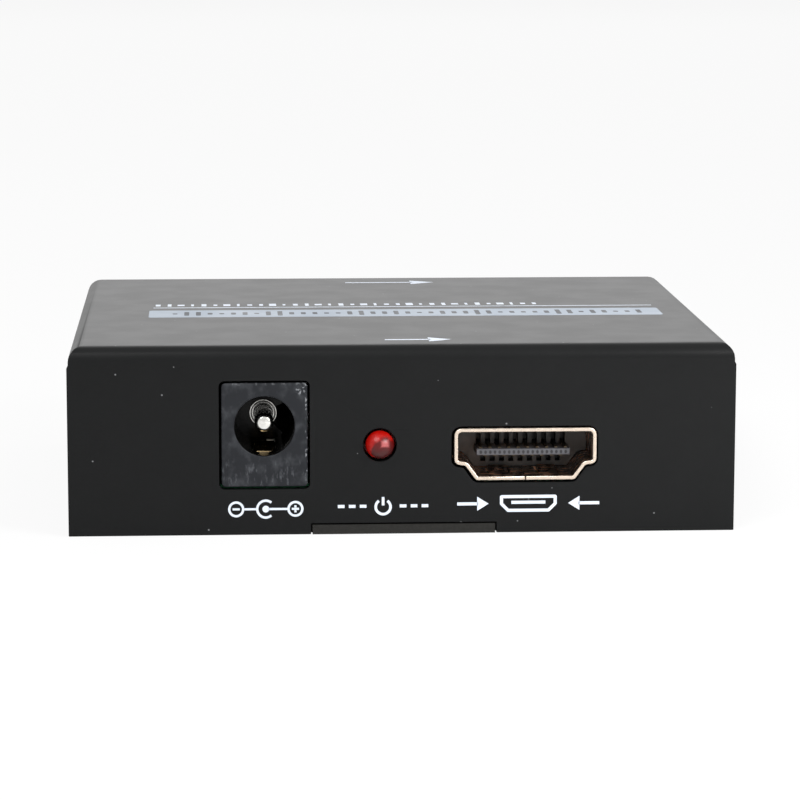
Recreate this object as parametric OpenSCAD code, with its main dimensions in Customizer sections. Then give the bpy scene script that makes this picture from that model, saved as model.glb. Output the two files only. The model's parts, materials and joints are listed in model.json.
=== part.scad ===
// Small sheet-steel converter box: video in and out, with the sound taken out as light and as stereo.
// The origin is the middle of the underside. X runs right, Y runs from the front to the rear, Z up.
// The front holds the power jack, the lamp and the video input. The rear holds every output.

/* [Case] */
// Outside width of the case
body_w = 70; // [68:1:90]
// Depth of the case from the front face to the rear face
body_d = 57.5; // [56:0.5:80]
// Height of the case
body_h = 20; // [19:0.5:30]
// Thickness of the sheet steel
sheet = 1; // [1:0.1:1.3]
// Inside radius of each bend in the sheet
bend_inside = 0.6; // [0.4:0.1:1]
// Gap between the cover and the base where they lie side by side
fit_gap = 0.1; // [0.05:0.05:0.2]
// Radius of the relief hole at each front corner bend
relief_r = 0.45; // [0.3:0.05:0.7]

/* [Base plate] */
// Width of the tab that shows under the front wall
tab_w = 19.2; // [12:0.2:26]
// Place of the tab across the front
tab_x = 0.1; // [-6:0.1:6]
// Gap round the tab in its notch
tab_gap = 0.15; // [0.1:0.05:0.4]
// Height of the side flanges
flange_h = 13; // [12:0.5:16]
// Length of the side flanges
flange_l = 42; // [40:1:50]
// Depth of the drawn collar round each tapped hole
collar_h = 0.8; // [0.4:0.1:1.2]
// Wall of the drawn collar
collar_wall = 0.7; // [0.4:0.1:1]

/* [Fasteners] */
// Radius of the side screws' thread
side_screw_r = 1.25; // [1.2:0.05:1.4]
// Radius of the side screws' countersunk heads
side_head_r = 2.25; // [2.1:0.05:2.25]
// Length of the side screws
side_screw_l = 5; // [4:0.5:5]
// Distance of each side screw from the middle of the case
side_screw_y = 15.5; // [12:0.5:18]
// Height of the side screws over the underside
side_screw_z = 9.5; // [9:0.5:10]
// Radius of the board screws' thread
board_screw_r = 1.2; // [1:0.05:1.3]
// Radius of the board screws' pan heads
board_head_r = 2.2; // [2:0.1:2.4]
// Height of the board screws' pan heads
board_head_h = 1.4; // [1:0.1:1.6]
// Length of the board screws under the head
board_screw_l = 3.6; // [3:0.1:3.8]
// Width of the arms of the cross recess
cross_w = 0.5; // [0.4:0.05:0.6]
// Depth of the cross recess
cross_depth = 0.7; // [0.5:0.05:0.8]
// Outer radius of the standoffs
standoff_r = 2.5; // [2.2:0.1:2.8]
// Radius of the standoff's neck that is pressed into the base
standoff_neck_r = 1.85; // [1.8:0.05:2]
// Gap between a screw and what it passes or bites
thread_gap = 0.05; // [0.03:0.01:0.08]

/* [Circuit board] */
// Thickness of the circuit board
board_t = 1.6; // [1.2:0.1:1.8]
// Height of the board over the base plate
board_lift = 2.5; // [2.2:0.1:3]
// Gap between the board's sides and the flanges
board_side_gap = 0.9; // [0.6:0.1:1.5]
// Gap between the board's ends and the front and rear walls
board_end_gap = 0.55; // [0.4:0.05:0.8]
// Corner radius of the board
board_corner_r = 1; // [0.5:0.5:2]
// Distance of the board screws from the board's sides
board_screw_side = 3.8; // [3.5:0.1:4]
// Distance of the front board screws from the board's front edge
board_screw_front = 6.7; // [5:0.1:8]
// Distance of the rear board screws from the board's rear edge
board_screw_rear = 17.2; // [16.5:0.1:19]

/* [Power jack] */
// Place of the power jack across the front, as a share of half the width
jack_share = -0.4143; // [-0.48:0.0001:-0.38]
// Width of the power jack
jack_w = 9; // [8.6:0.1:9.6]
// Height of the power jack
jack_h = 11; // [10.6:0.1:11.6]
// Length of the power jack
jack_l = 14.2; // [14:0.1:15]
// Depth of the square face block of the power jack
jack_face_l = 3.4; // [2.5:0.1:4]
// Height of the bore's axis over the board
jack_axis_h = 6.4; // [6.2:0.1:6.6]
// Bore of the power jack
jack_bore_d = 6.3; // [6:0.1:6.5]
// Depth of the power jack's bore
jack_bore_l = 9.2; // [9:0.1:9.4]
// Diameter of the power jack's centre pin
jack_pin_d = 2; // [1.7:0.1:2.2]
// How far the centre pin's tip lies behind the jack's face
jack_pin_recess = 2; // [1:0.1:3]
// How far the jack's face lies behind the front wall's face
jack_recess = 0.1; // [0:0.05:0.3]
// Width of the sprung leaf that presses on the plug
leaf_w = 2.2; // [1.8:0.1:2.4]
// Thickness of the sprung leaf
leaf_t = 0.25; // [0.2:0.05:0.3]

/* [Power lamp] */
// Place of the lamp across the front, as a share of half the width
lamp_share = -0.0697; // [-0.11:0.0001:0]
// Height of the lamp's axis over the board
lamp_axis_h = 4.36; // [4:0.02:6]
// Diameter of the lamp's lens
lamp_d = 3; // [2.8:0.1:3.2]
// Diameter of the lamp's rear collar
lamp_collar_d = 3.8; // [3.6:0.1:4]
// Length of the lamp from its tip to the back of its collar
lamp_l = 5.3; // [5:0.1:6]
// How far the lamp stands out of the front wall
lamp_proud = 1.2; // [0.5:0.1:2]

/* [Video sockets] */
// Place of the video input across the front, as a share of half the width
input_share = 0.3671; // [0.32:0.0001:0.42]
// Place of the video output along X, on the rear, as a share of half the width
output_share = 0.586; // [0.55:0.001:0.6]
// Width of the socket's shell
socket_w = 15; // [14.6:0.1:15.4]
// Height of the socket's shell
socket_h = 5.54; // [5.4:0.02:5.8]
// Length of the socket's shell
socket_l = 11.5; // [11:0.1:12]
// Height of the socket's middle over the board
socket_axis_h = 3.3; // [3.2:0.05:3.6]
// Sheet of the socket's shell
socket_sheet = 0.42; // [0.3:0.02:0.45]
// How far the shell stands out of the wall
socket_proud = 0.25; // [0:0.05:0.5]
// Depth from the shell's rim to the back of the socket
socket_cavity = 6; // [5.5:0.1:6.5]
// Width of the contact tongue
tongue_w = 9.9; // [9.9:0.1:10.4]
// Thickness of the contact tongue
tongue_t = 0.7; // [0.6:0.05:0.9]
// Depth of the tongue's tip behind the shell's rim
tongue_depth = 2.5; // [1.5:0.1:3]
// Distance between neighbouring contacts of one row
contact_pitch = 1; // [0.9:0.02:1]
// Width of a contact
contact_w = 0.3; // [0.2:0.02:0.34]
// Thickness of a contact
contact_t = 0.15; // [0.1:0.01:0.2]

/* [Optical jack] */
// Place of the optical jack along X, on the rear, as a share of half the width
optical_share = 0.115; // [0.08:0.005:0.15]
// Width of the optical jack
optical_w = 9.7; // [9.5:0.1:10.2]
// Height of the optical jack
optical_h = 10; // [9.9:0.1:10.8]
// Length of the optical jack
optical_l = 13.5; // [13.4:0.1:14.5]
// Width of the plug's way in
port_w = 6.2; // [6.1:0.1:6.4]
// Height of the plug's way in
port_h = 6.2; // [6.1:0.1:6.3]
// Depth of the plug's cavity
port_l = 8.3; // [8.3:0.1:8.6]
// Height of the sill under the plug's way in
port_sill = 1.6; // [1.5:0.1:1.7]
// Thickness of the front lip that stops the shutter
port_lip = 0.45; // [0.3:0.05:0.5]
// Diameter of the hole that guides the plug's ferrule
ferrule_d = 3.2; // [3:0.1:3.6]
// Length of the ferrule's guide hole
ferrule_l = 3; // [2.5:0.1:3.2]
// Thickness of the shutter
shutter_t = 0.8; // [0.6:0.05:0.85]
// Radius of the shutter's trunnions
trunnion_r = 0.4; // [0.35:0.05:0.45]
// Diameter of the shutter spring's wire
wire_d = 0.18; // [0.12:0.02:0.2]
// Number of turns in the shutter spring
spring_turns = 6; // [4:1:7]

/* [Audio jacks] */
// Place of the pair of audio jacks along X, on the rear, as a share of half the width
audio_share = -0.4786; // [-0.486:0.0001:-0.47]
// Distance between the two audio jacks
audio_pitch = 13.5; // [13:0.1:13.8]
// Height of the audio jacks' axes over the board
audio_axis_h = 6.4; // [6.3:0.1:6.6]
// Diameter of the audio jacks' barrels
barrel_d = 8.3; // [8.1:0.1:8.4]
// Wall of the audio jacks' barrels
barrel_wall = 0.6; // [0.4:0.05:0.7]
// How far the barrels stand out of the rear wall
barrel_l = 8.5; // [7:0.1:10]
// Diameter of the rear wall's holes for the barrels
barrel_hole_d = 9.6; // [9.4:0.1:10]
// Width of the block that carries both jacks
audio_block_w = 23.5; // [23:0.1:24]
// Height of the block that carries both jacks
audio_block_h = 12; // [11.5:0.1:12.4]
// Length of the block that carries both jacks
audio_block_l = 10.5; // [10:0.1:11]
// Inside diameter of the audio jacks' centre contacts
center_bore_d = 3.2; // [3:0.1:3.3]
// Wall of the centre contacts
center_wall = 0.3; // [0.25:0.05:0.4]

/* [Chips] */
// Side of the video chip
video_chip_w = 10; // [9:0.5:10.5]
// Pins along each side of the video chip
video_chip_pins = 16; // [8:2:18]
// Distance between the video chip's pins
video_pin_pitch = 0.5; // [0.4:0.05:0.5]
// Length of the sound chip
audio_chip_l = 9.9; // [9.8:0.1:10.5]
// Pins along each side of the sound chip
audio_chip_pins = 8; // [4:1:8]
// Length of the memory chip
memory_chip_l = 4.9; // [4.9:0.1:5.5]
// Pins along each side of the memory chip
memory_chip_pins = 4; // [2:1:4]
// Width of the sound chip's and the memory chip's bodies
small_chip_w = 3.9; // [3.5:0.1:4.2]
// Distance between the pins of the two small chips
small_pin_pitch = 1.2; // [0.8:0.05:1.27]
// Height of the chips' bodies
chip_h = 1.4; // [1:0.1:1.8]
// Height of each chip's body over the board
chip_lift = 0.1; // [0.05:0.05:0.2]
// Thickness of the chips' leads
lead_t = 0.15; // [0.1:0.01:0.2]

/* [Power parts] */
// Length of a voltage regulator
regulator_l = 6.5; // [6:0.1:7]
// Width of a voltage regulator
regulator_w = 3.5; // [3.3:0.1:3.8]
// Diameter of the electrolytic capacitors
can_d = 5; // [4:0.1:5.2]
// Height of the electrolytic capacitors over the board
can_h = 5.4; // [5:0.1:7.7]
// Side of the power inductor
inductor_w = 5.2; // [4.5:0.1:5.6]
// Height of the power inductor
inductor_h = 2.8; // [2.4:0.1:4]
// Length of the protection diode's body
diode_l = 4.3; // [4:0.1:4.6]
// Width of the protection diode's body
diode_w = 2.6; // [2.2:0.1:2.8]
// Height of the protection diode's body
diode_h = 2.2; // [1.8:0.1:2.4]

/* [Small parts] */
// Length of a chip resistor or ceramic capacitor
chip_part_l = 1.6; // [1:0.1:2]
// Width of a chip resistor or ceramic capacitor
chip_part_w = 0.8; // [0.5:0.05:1.2]
// Height of a ceramic capacitor
ceramic_h = 0.8; // [0.5:0.05:1]
// Height of a chip resistor
resistor_h = 0.45; // [0.3:0.05:0.6]
// Length of a ferrite bead
ferrite_l = 2; // [1.6:0.1:2.4]
// Width of a ferrite bead
ferrite_w = 1.25; // [0.8:0.05:1.4]
// Length of a surge arrester
arrester_l = 2.5; // [2:0.1:3]
// Width of a surge arrester
arrester_w = 1; // [0.8:0.1:1.4]
// Length of the crystal
crystal_l = 5; // [4:0.1:5.4]
// Width of the crystal
crystal_w = 3.2; // [2.5:0.1:3.6]

/* [Hidden] */
$fn = 48;

// Clearances that many pieces share
cut_gap = 0.2;
pin_gap = 0.05;
hole_gap = 0.15;
seat_gap = 0.05;
over = 0.5;
tail_below = 1.1;

// Case
bend_outside = bend_inside + sheet;
seam_gap = 0.12;
base_half_w = body_w / 2 - sheet - fit_gap;
panel_top = body_h - sheet - fit_gap;
base_front = -body_d / 2 + sheet + fit_gap;
flange_inner = base_half_w - sheet;
arc_steps = 6;

// Connectors along X
jack_x = jack_share * body_w / 2;
lamp_x = lamp_share * body_w / 2;
input_x = input_share * body_w / 2;
output_x = output_share * body_w / 2;
optical_x = optical_share * body_w / 2;
audio_x = audio_share * body_w / 2;

// Board
board_top = sheet + board_lift + board_t;
board_half_w = flange_inner - board_side_gap;
board_half_d = body_d / 2 - sheet - board_end_gap;
tail_l = board_t + tail_below;
board_screw_x = board_half_w - board_screw_side;
board_screw_ys = [-board_half_d + board_screw_front, board_half_d - board_screw_rear];
board_hole_gap = 0.25;
cross_reach_share = 0.62;
head_round_share = 0.45;

// Power jack: places are measured from the front wall's face and the board's top
jack_half_w = jack_w / 2;
jack_corner_r = 0.45;
jack_back_inset = 0.5;
jack_mouth = 0.25;
jack_bore_end = jack_recess + jack_bore_l;
jack_end = jack_recess + jack_l;
jack_floor = 0.8;
jack_gap = 0.25;
leaf_side_gap = 0.15;
leaf_root_depth = 12.05;
leaf_root_y = jack_recess + leaf_root_depth;
leaf_root_z = 2.3;
leaf_hump_depth = 4.45;
leaf_hump_y = jack_recess + leaf_hump_depth;
leaf_hump_rise = 0.9;
leaf_hump_z = jack_axis_h - jack_bore_d / 2 + leaf_hump_rise;
leaf_tip_depth = 2.75;
leaf_tip_y = jack_recess + leaf_tip_depth;
leaf_tip_drop = 0.85;
leaf_bead_r = 0.2;
leaf_slope = (leaf_hump_z - leaf_root_z) / (leaf_root_y - leaf_hump_y);
leaf_travel = 1.1;
leaf_pocket_back = 0.6;
leaf_pocket_rise = 1.4;
leaf_pocket_end = leaf_root_y + leaf_pocket_back;
leaf_pocket_top = leaf_root_z + leaf_pocket_rise;
blade_t = 0.3;
switch_x = leaf_w / 2 + leaf_travel;
switch_ahead = 2.3;
switch_y = leaf_root_y - switch_ahead;
switch_w = 1.2;
switch_overlap = 0.7;
switch_z = leaf_root_z + leaf_slope * (leaf_root_y - switch_y) + leaf_t / 2 + seat_gap;
pin_tail_r_share = 0.8;
pin_collar_r = 1.45;
pin_collar_t = 0.4;
pin_round_share = 0.6;
rivet_l = 0.2;
terminal_t = 0.4;
terminal_w = 3.2;
terminal_tail_w = 2;

// Lamp
lamp_r = lamp_d / 2;
lamp_hole_gap = 0.25;
lamp_collar_t = 1;
lamp_flat = 0.3;
lamp_lead_w = 0.5;
lamp_lead_pitch = 2.54;
lamp_lead_run = 1.6;
lamp_back = lamp_l - lamp_proud;
lamp_lead_y = lamp_back + lamp_lead_run - lamp_lead_w / 2;

// Video sockets
foot_w = 10.4;
foot_r = 0.5;
shoulder_w = 12.7;
shoulder_drop = 1.2;
shoulder_r = 0.5;
side_drop = 1.05;
side_r = 0.6;
socket_top_r = 0.8;
tongue_drop = 0.2;
tongue_z = socket_axis_h - tongue_drop;
socket_outline = [
    [-foot_w / 2, -socket_h / 2, foot_r],
    [foot_w / 2, -socket_h / 2, foot_r],
    [shoulder_w / 2, -shoulder_drop, shoulder_r],
    [socket_w / 2, -side_drop, side_r],
    [socket_w / 2, socket_h / 2, socket_top_r],
    [-socket_w / 2, socket_h / 2, socket_top_r],
    [-socket_w / 2, -side_drop, side_r],
    [-shoulder_w / 2, -shoulder_drop, shoulder_r]
];
rear_block_t = 0.7;
rear_block_w = 13;
contact_count = 10;
contact_setback = 0.4;
contact_foot = 1;
contact_window_h = 1.25;
contact_window_l = 1.5;
contact_window_w = 0.56;
socket_leg_w = 1.8;
socket_leg_y = 3.4;
socket_leg_spacing = 6;
socket_leg_ys = [socket_leg_y, socket_leg_y + socket_leg_spacing];
shell_seam = 0.08;
finger_w = 2;
finger_start = 1.6;
finger_l = 3.4;
finger_drop = 0.35;
finger_curl = 0.2;
finger_slit = 0.25;
top_finger_x = 3.1;
foot_finger_x = 2.6;

// Optical jack
port_top = port_sill + port_h;
sill_step = 0.3;
cavity_relief = 0.2;
cavity_w = port_w + 2 * cavity_relief;
shutter_side_gap = 0.1;
shutter_gap = 0.15;
hinge_behind_lip = 0.7;
hinge_rise = 0.65;
hinge_roof = 0.65;
hinge_y = port_lip + hinge_behind_lip;
hinge_z = port_top + hinge_rise;
recess_top = hinge_z + hinge_roof;
trunnion_l = 0.45;
shutter_front = port_lip + seat_gap;
shutter_half_w = cavity_w / 2 - shutter_side_gap;
shutter_bottom = port_sill - sill_step + shutter_gap;
spring_pin_r = 0.3;
spring_r = 0.5;
spring_notch_w = 2;
spring_notch_h = 0.9;
spring_pitch = 0.24;
spring_arm_l = 2.4;
spring_steps = 14;
spring_sides = 6;
spring_lean = 0.24;
spring_half = spring_turns * spring_pitch / 2;

// The spring's wire: one arm down the shutter, turns round the pin, one arm back along the roof
spring_path = concat(
    [[-spring_half, spring_r - spring_lean, -spring_arm_l]],
    [for (i = [0:spring_turns * spring_steps + spring_steps / 4])
        let (a = 360 * i / spring_steps)
            [-spring_half + spring_pitch * i / spring_steps, spring_r * cos(a), spring_r * sin(a)]],
    [[spring_half + spring_pitch / 4, spring_arm_l, spring_r]]
);

// The emitter behind the port
emitter_w = 4.8;
emitter_h = 4.8;
emitter_t = 1.4;
emitter_lens_d = 2.4;
emitter_lens_l = 0.6;
emitter_lead_w = 0.5;
emitter_lead_pitch = 1.6;
ferrule_z = port_sill + port_h / 2;
emitter_y = port_l + ferrule_l;
emitter_body_y = emitter_y + seat_gap + emitter_lens_l;

// Audio jacks
barrel_r = barrel_d / 2;
barrel_seat = 3;
barrel_rim_r_share = 0.4;
barrel_step = 0.25;
barrel_step_l = 0.2;
audio_block_y = sheet + fit_gap;
barrel_end = audio_block_y + barrel_seat;
audio_block_end = audio_block_y + audio_block_l;
insulator_recess = 0.4;
insulator_lip_l = 1;
insulator_lip_gap = 0.1;
insulator_lip_r = center_bore_d / 2 + insulator_lip_gap;
center_l = 8.6;
center_tail_r = 0.6;
center_tail_w = 0.8;
center_plug_l = 1.7;
center_y = -barrel_l + insulator_recess + insulator_lip_l;
ground_w = 2;
ground_y = audio_block_y + 1;
block_relief = 0.8;

// Chips
lead_reach = 1;
lead_foot = 0.45;
lead_knee = 0.25;
lead_z = 0.75;
video_lead_w = 0.22;
small_lead_w = 0.42;
chip_dot_r = 0.4;
chip_dot_depth = 0.1;
video_chip_share = [0.34, -0.055];
sound_chip_share = [-0.33, 0.31];
memory_chip_share = [-0.08, -0.28];
regulator_shares = [[-0.69, -0.165], [-0.69, 0.155]];
regulator_h = 1.6;
regulator_lead_w = 0.7;
regulator_tab_w = 3;
regulator_pitch = 2.3;
regulator_reach = 1.5;

// Power parts
can_shares = [[-0.86, -0.4], [-0.31, -0.34], [0.85, 0.07]];
can_base_t = 0.8;
can_base_rim = 0.15;
can_groove_z = 1.2;
can_groove_w = 0.4;
can_groove_depth = 0.25;
can_round = 0.4;
can_lead_w = 0.7;
can_lead_t = 0.15;
can_lead_out = 0.4;
can_chamfer_share = 0.2;
can_lead_inner_share = 0.22;
inductor_share = [-0.44, -0.09];
inductor_flange_t = 0.7;
inductor_post_d = 2.2;
inductor_rim = 0.4;
inductor_disc_inset = 0.3;
inductor_disc_d = inductor_w - 2 * inductor_disc_inset;
diode_share = [-0.62, -0.445];
diode_lead_w = 1.4;
diode_lead_t = 0.25;

// Small parts
end_l_share = 0.22;
crystal_share = [0.67, -0.04];
crystal_base_t = 0.6;
crystal_lid_t = 0.35;
crystal_lid_inset = 0.3;
arrester_h = 0.6;
arrester_shares = [[0.28, -0.47], [0.52, -0.47], [0.52, 0.47], [0.76, 0.47]];
ferrite_shares = [[-0.17, -0.47], [0.06, -0.47], [-0.62, 0.5], [-0.4, 0.5]];
ceramic_shares = [
    [0.09, -0.2], [0.09, -0.09], [0.09, 0.02], [0.6, 0.14], [0.67, 0.14],
    [0.24, 0.25], [0.33, 0.25], [0.42, 0.25], [0.24, -0.36], [0.33, -0.36], [0.42, -0.36],
    [-0.56, 0.31], [-0.1, 0.31], [-0.3, 0.5]
];
resistor_shares = [
    [0.2, 0.36], [0.28, 0.36], [0.36, 0.36], [0.44, 0.36], [0.67, -0.2], [0.6, -0.2],
    [-0.1, -0.03], [-0.18, -0.03], [-0.26, -0.03], [-0.1, 0.08], [-0.18, 0.08], [-0.26, 0.08],
    [0.01, 0.2], [0.09, 0.2]
];

// The arc that rounds corner p between its neighbours a and b, as points
function unit(v) = v / norm(v);
function turn(a) = a > 180 ? a - 360 : (a < -180 ? a + 360 : a);
function arc_points(c, r, a0, sweep) =
    [for (i = [0:arc_steps]) c + r * [cos(a0 + sweep * i / arc_steps), sin(a0 + sweep * i / arc_steps)]];
function corner_arc(a, p, b, r) =
    let (
        u = unit(a - p),
        w = unit(b - p),
        half = acos(u * w) / 2,
        c = p + unit(u + w) * r / sin(half),
        s = p + u * r / tan(half) - c,
        e = p + w * r / tan(half) - c,
        a0 = atan2(s.y, s.x)
    ) arc_points(c, r, a0, turn(atan2(e.y, e.x) - a0));
function flat(p) = [p.x, p.y];

// A closed outline of [x, y, radius] corners, as points
function rounded(path) = [
    for (i = [0:len(path) - 1])
        let (
            n = len(path),
            p = path[i],
            before = path[(i + n - 1) % n],
            after = path[(i + 1) % n]
        ) each (p[2] > 0 ? corner_arc(flat(before), flat(p), flat(after), p[2]) : [flat(p)])
];

// The same outline, counter-clockwise, moved inwards by t
function inward(d) = [-d.y, d.x] / norm(d);
function inset(path, t) = [
    for (i = [0:len(path) - 1])
        let (
            n = len(path),
            p = flat(path[i]),
            d1 = p - flat(path[(i + n - 1) % n]),
            d2 = flat(path[(i + 1) % n]) - p,
            n1 = inward(d1),
            n2 = inward(d2),
            q = p + t * (n1 + n2) / (1 + n1 * n2),
            convex = d1.x * d2.y - d1.y * d2.x > 0
        ) [q.x, q.y, max(path[i][2] + (convex ? -t : t), 0)]
];
function box_outline(w, h, r) =
    [[-w / 2, -h / 2, r], [w / 2, -h / 2, r], [w / 2, h / 2, r], [-w / 2, h / 2, r]];

// Prisms and blocks between two places on each axis
module slab(x, y, z) {
    translate([x[0], y[0], z[0]]) cube([x[1] - x[0], y[1] - y[0], z[1] - z[0]]);
}
module along_x(x) {
    translate([x[0], 0, 0]) rotate([90, 0, 90]) linear_extrude(x[1] - x[0]) children();
}
module along_y(y) {
    translate([0, y[1], 0]) rotate([90, 0, 0]) linear_extrude(y[1] - y[0]) children();
}
module rod_y(r, y) {
    translate([0, y[0], 0]) rotate([-90, 0, 0]) cylinder(h = y[1] - y[0], r = r);
}
module rod_x(r, x) {
    translate([x[0], 0, 0]) rotate([0, 90, 0]) cylinder(h = x[1] - x[0], r = r);
}

// A turned piece along Y, from its [radius, y] outline
module turned_y(outline) {
    rotate([-90, 0, 0]) rotate_extrude() polygon(outline);
}

// Frames in which a connector is drawn: Y runs into the case from its wall, Z up from the board
module at_front(x) {
    translate([x, -body_d / 2, board_top]) children();
}
module at_rear(x) {
    translate([x, body_d / 2, board_top]) rotate([0, 0, 180]) children();
}
module on_board(share) {
    translate([share.x * board_half_w, share.y * board_half_d, board_top]) children();
}

// Sheet-steel case

module cover_block(half_w, y, top, r) {
    intersection() {
        along_x([-half_w, half_w])
            polygon(rounded([[y[0], -over, 0], [y[1], -over, 0], [y[1], top, 0], [y[0], top, r]]));
        along_y(y)
            polygon(rounded([[-half_w, -over, 0], [half_w, -over, 0], [half_w, top, r], [-half_w, top, r]]));
    }
}

module side_screw_places() {
    for (side = [-1, 1], along = [-1, 1])
        translate([side * body_w / 2, along * side_screw_y, side_screw_z])
            rotate([0, side * 90, 0]) children();
}

module countersink(gap) {
    depth = side_head_r - side_screw_r;
    translate([0, 0, -depth]) cylinder(h = depth, r1 = side_screw_r + gap, r2 = side_head_r + gap);
}

module jack_cutout() {
    at_front(jack_x) along_y([-over, sheet + over]) translate([0, jack_h / 2])
        polygon(rounded(box_outline(jack_w + 2 * jack_gap, jack_h + 2 * jack_gap, jack_corner_r)));
}

module socket_cutout() {
    translate([0, 0, socket_axis_h]) along_y([-over, sheet + over])
        polygon(rounded(inset(socket_outline, -cut_gap)));
}

module cover() {
    color("dimgray") difference() {
        cover_block(body_w / 2, [-body_d / 2, body_d / 2], body_h, bend_outside);
        cover_block(body_w / 2 - sheet, [-body_d / 2 + sheet, body_d / 2 + over],
                    body_h - sheet, bend_inside);
        slab([-body_w, body_w], [-body_d, body_d], [-2 * over, 0]);
        for (side = [-1, 1]) {
            seam_x = side * (body_w / 2 - sheet / 2);
            slab([seam_x - sheet / 2 - over, seam_x + sheet / 2 + over],
                 [-body_d / 2 + sheet, -body_d / 2 + sheet + seam_gap], [-over, body_h - bend_outside]);
            translate([side * body_w / 2, 0, body_h - bend_outside])
                rod_y(relief_r, [-body_d / 2 - over, -body_d / 2 + sheet + seam_gap]);
        }
        jack_cutout();
        at_front(lamp_x) translate([0, 0, lamp_axis_h])
            rod_y(lamp_r + lamp_hole_gap, [-over, sheet + over]);
        at_front(input_x) socket_cutout();
        slab([tab_x - tab_w / 2 - tab_gap, tab_x + tab_w / 2 + tab_gap],
             [-body_d / 2 - over, -body_d / 2 + sheet + over], [-over, sheet + tab_gap]);
        side_screw_places() {
            countersink(thread_gap);
            translate([0, 0, -sheet - over]) cylinder(h = sheet + over, r = side_screw_r + thread_gap);
            cylinder(h = over, r = side_head_r + thread_gap);
        }
    }
}

module base_profile_rear() {
    polygon(rounded([
        [base_front, 0, 0], [body_d / 2, 0, bend_outside], [body_d / 2, panel_top, 0],
        [body_d / 2 - sheet, panel_top, 0], [body_d / 2 - sheet, sheet, bend_inside],
        [base_front, sheet, 0]
    ]));
}

// The rear panel's upper corners clear the cover's bends
module base_panel_outline() {
    polygon(rounded([
        [-base_half_w, 0, 0], [base_half_w, 0, 0], [base_half_w, panel_top, bend_inside],
        [-base_half_w, panel_top, bend_inside]
    ]));
}

module base_profile_sides() {
    polygon(rounded([
        [-base_half_w, 0, bend_outside], [base_half_w, 0, bend_outside], [base_half_w, flange_h, 0],
        [flange_inner, flange_h, 0], [flange_inner, sheet, bend_inside],
        [-flange_inner, sheet, bend_inside], [-flange_inner, flange_h, 0], [-base_half_w, flange_h, 0]
    ]));
}

module base_plate() {
    collar_end = sheet + fit_gap + sheet + collar_h;
    color("slategray") difference() {
        union() {
            difference() {
                intersection() {
                    along_x([-base_half_w, base_half_w]) base_profile_rear();
                    along_y([base_front, body_d / 2]) base_panel_outline();
                }
                for (side = [-1, 1])
                    translate([side * base_half_w, 0, 0])
                        slab([-bend_outside, bend_outside], [-flange_l / 2, flange_l / 2],
                             [-over, bend_outside]);
            }
            along_y([-flange_l / 2, flange_l / 2]) base_profile_sides();
            slab([tab_x - tab_w / 2, tab_x + tab_w / 2], [-body_d / 2, base_front], [0, sheet]);
            side_screw_places() translate([0, 0, -collar_end])
                cylinder(h = collar_h, r = side_screw_r + collar_wall);
        }
        side_screw_places() translate([0, 0, -collar_end - over])
            cylinder(h = collar_end, r = side_screw_r + thread_gap);
        board_screw_places() translate([0, 0, -over])
            cylinder(h = sheet + 2 * over, r = standoff_neck_r + pin_gap);
        at_rear(output_x) socket_cutout();
        at_rear(optical_x) slab([-optical_w / 2 - cut_gap, optical_w / 2 + cut_gap],
                                 [-over, sheet + over], [-cut_gap, optical_h + cut_gap]);
        audio_places() rod_y(barrel_hole_d / 2, [-over, sheet + over]);
    }
}

// Fasteners

module cross_recess(r, top) {
    for (a = [0, 90])
        rotate([0, 0, a]) translate([0, 0, top])
            cube([2 * r * cross_reach_share, cross_w, 2 * cross_depth], center = true);
}

module cover_screws() {
    color("gray") side_screw_places() difference() {
        union() {
            countersink(0);
            translate([0, 0, -side_screw_l])
                cylinder(h = side_screw_l - side_head_r + side_screw_r, r = side_screw_r);
        }
        cross_recess(side_head_r, 0);
    }
}

module board_screw_places() {
    for (side = [-1, 1], y = board_screw_ys)
        translate([side * board_screw_x, y, 0]) children();
}

module board_standoffs() {
    color("goldenrod") board_screw_places() difference() {
        union() {
            cylinder(h = sheet, r = standoff_neck_r);
            translate([0, 0, sheet]) cylinder(h = board_lift, r = standoff_r);
        }
        translate([0, 0, -over])
            cylinder(h = sheet + board_lift + 2 * over, r = board_screw_r + thread_gap);
    }
}

module board_screws() {
    head_round = board_head_h * head_round_share;
    outline = rounded([
        [0, -board_screw_l, 0], [board_screw_r, -board_screw_l, 0], [board_screw_r, 0, 0],
        [board_head_r, 0, 0], [board_head_r, board_head_h, head_round], [0, board_head_h, 0]
    ]);
    color("silver") board_screw_places() translate([0, 0, board_top]) difference() {
        rotate_extrude() polygon(outline);
        cross_recess(board_head_r, board_head_h);
    }
}

// Circuit board

module hole(x, y, r) {
    translate([x, y, -board_t - over]) cylinder(h = board_t + 2 * over, r = r);
}

module slot(x, y) {
    slab([x[0] - hole_gap, x[1] + hole_gap], [y[0] - hole_gap, y[1] + hole_gap],
         [-board_t - over, over]);
}

module socket_holes() {
    for (side = [-1, 1], y = socket_leg_ys)
        translate([side * (socket_w - socket_sheet) / 2, 0, 0])
            slot([-socket_sheet / 2, socket_sheet / 2], [y - socket_leg_w / 2, y + socket_leg_w / 2]);
}

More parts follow.
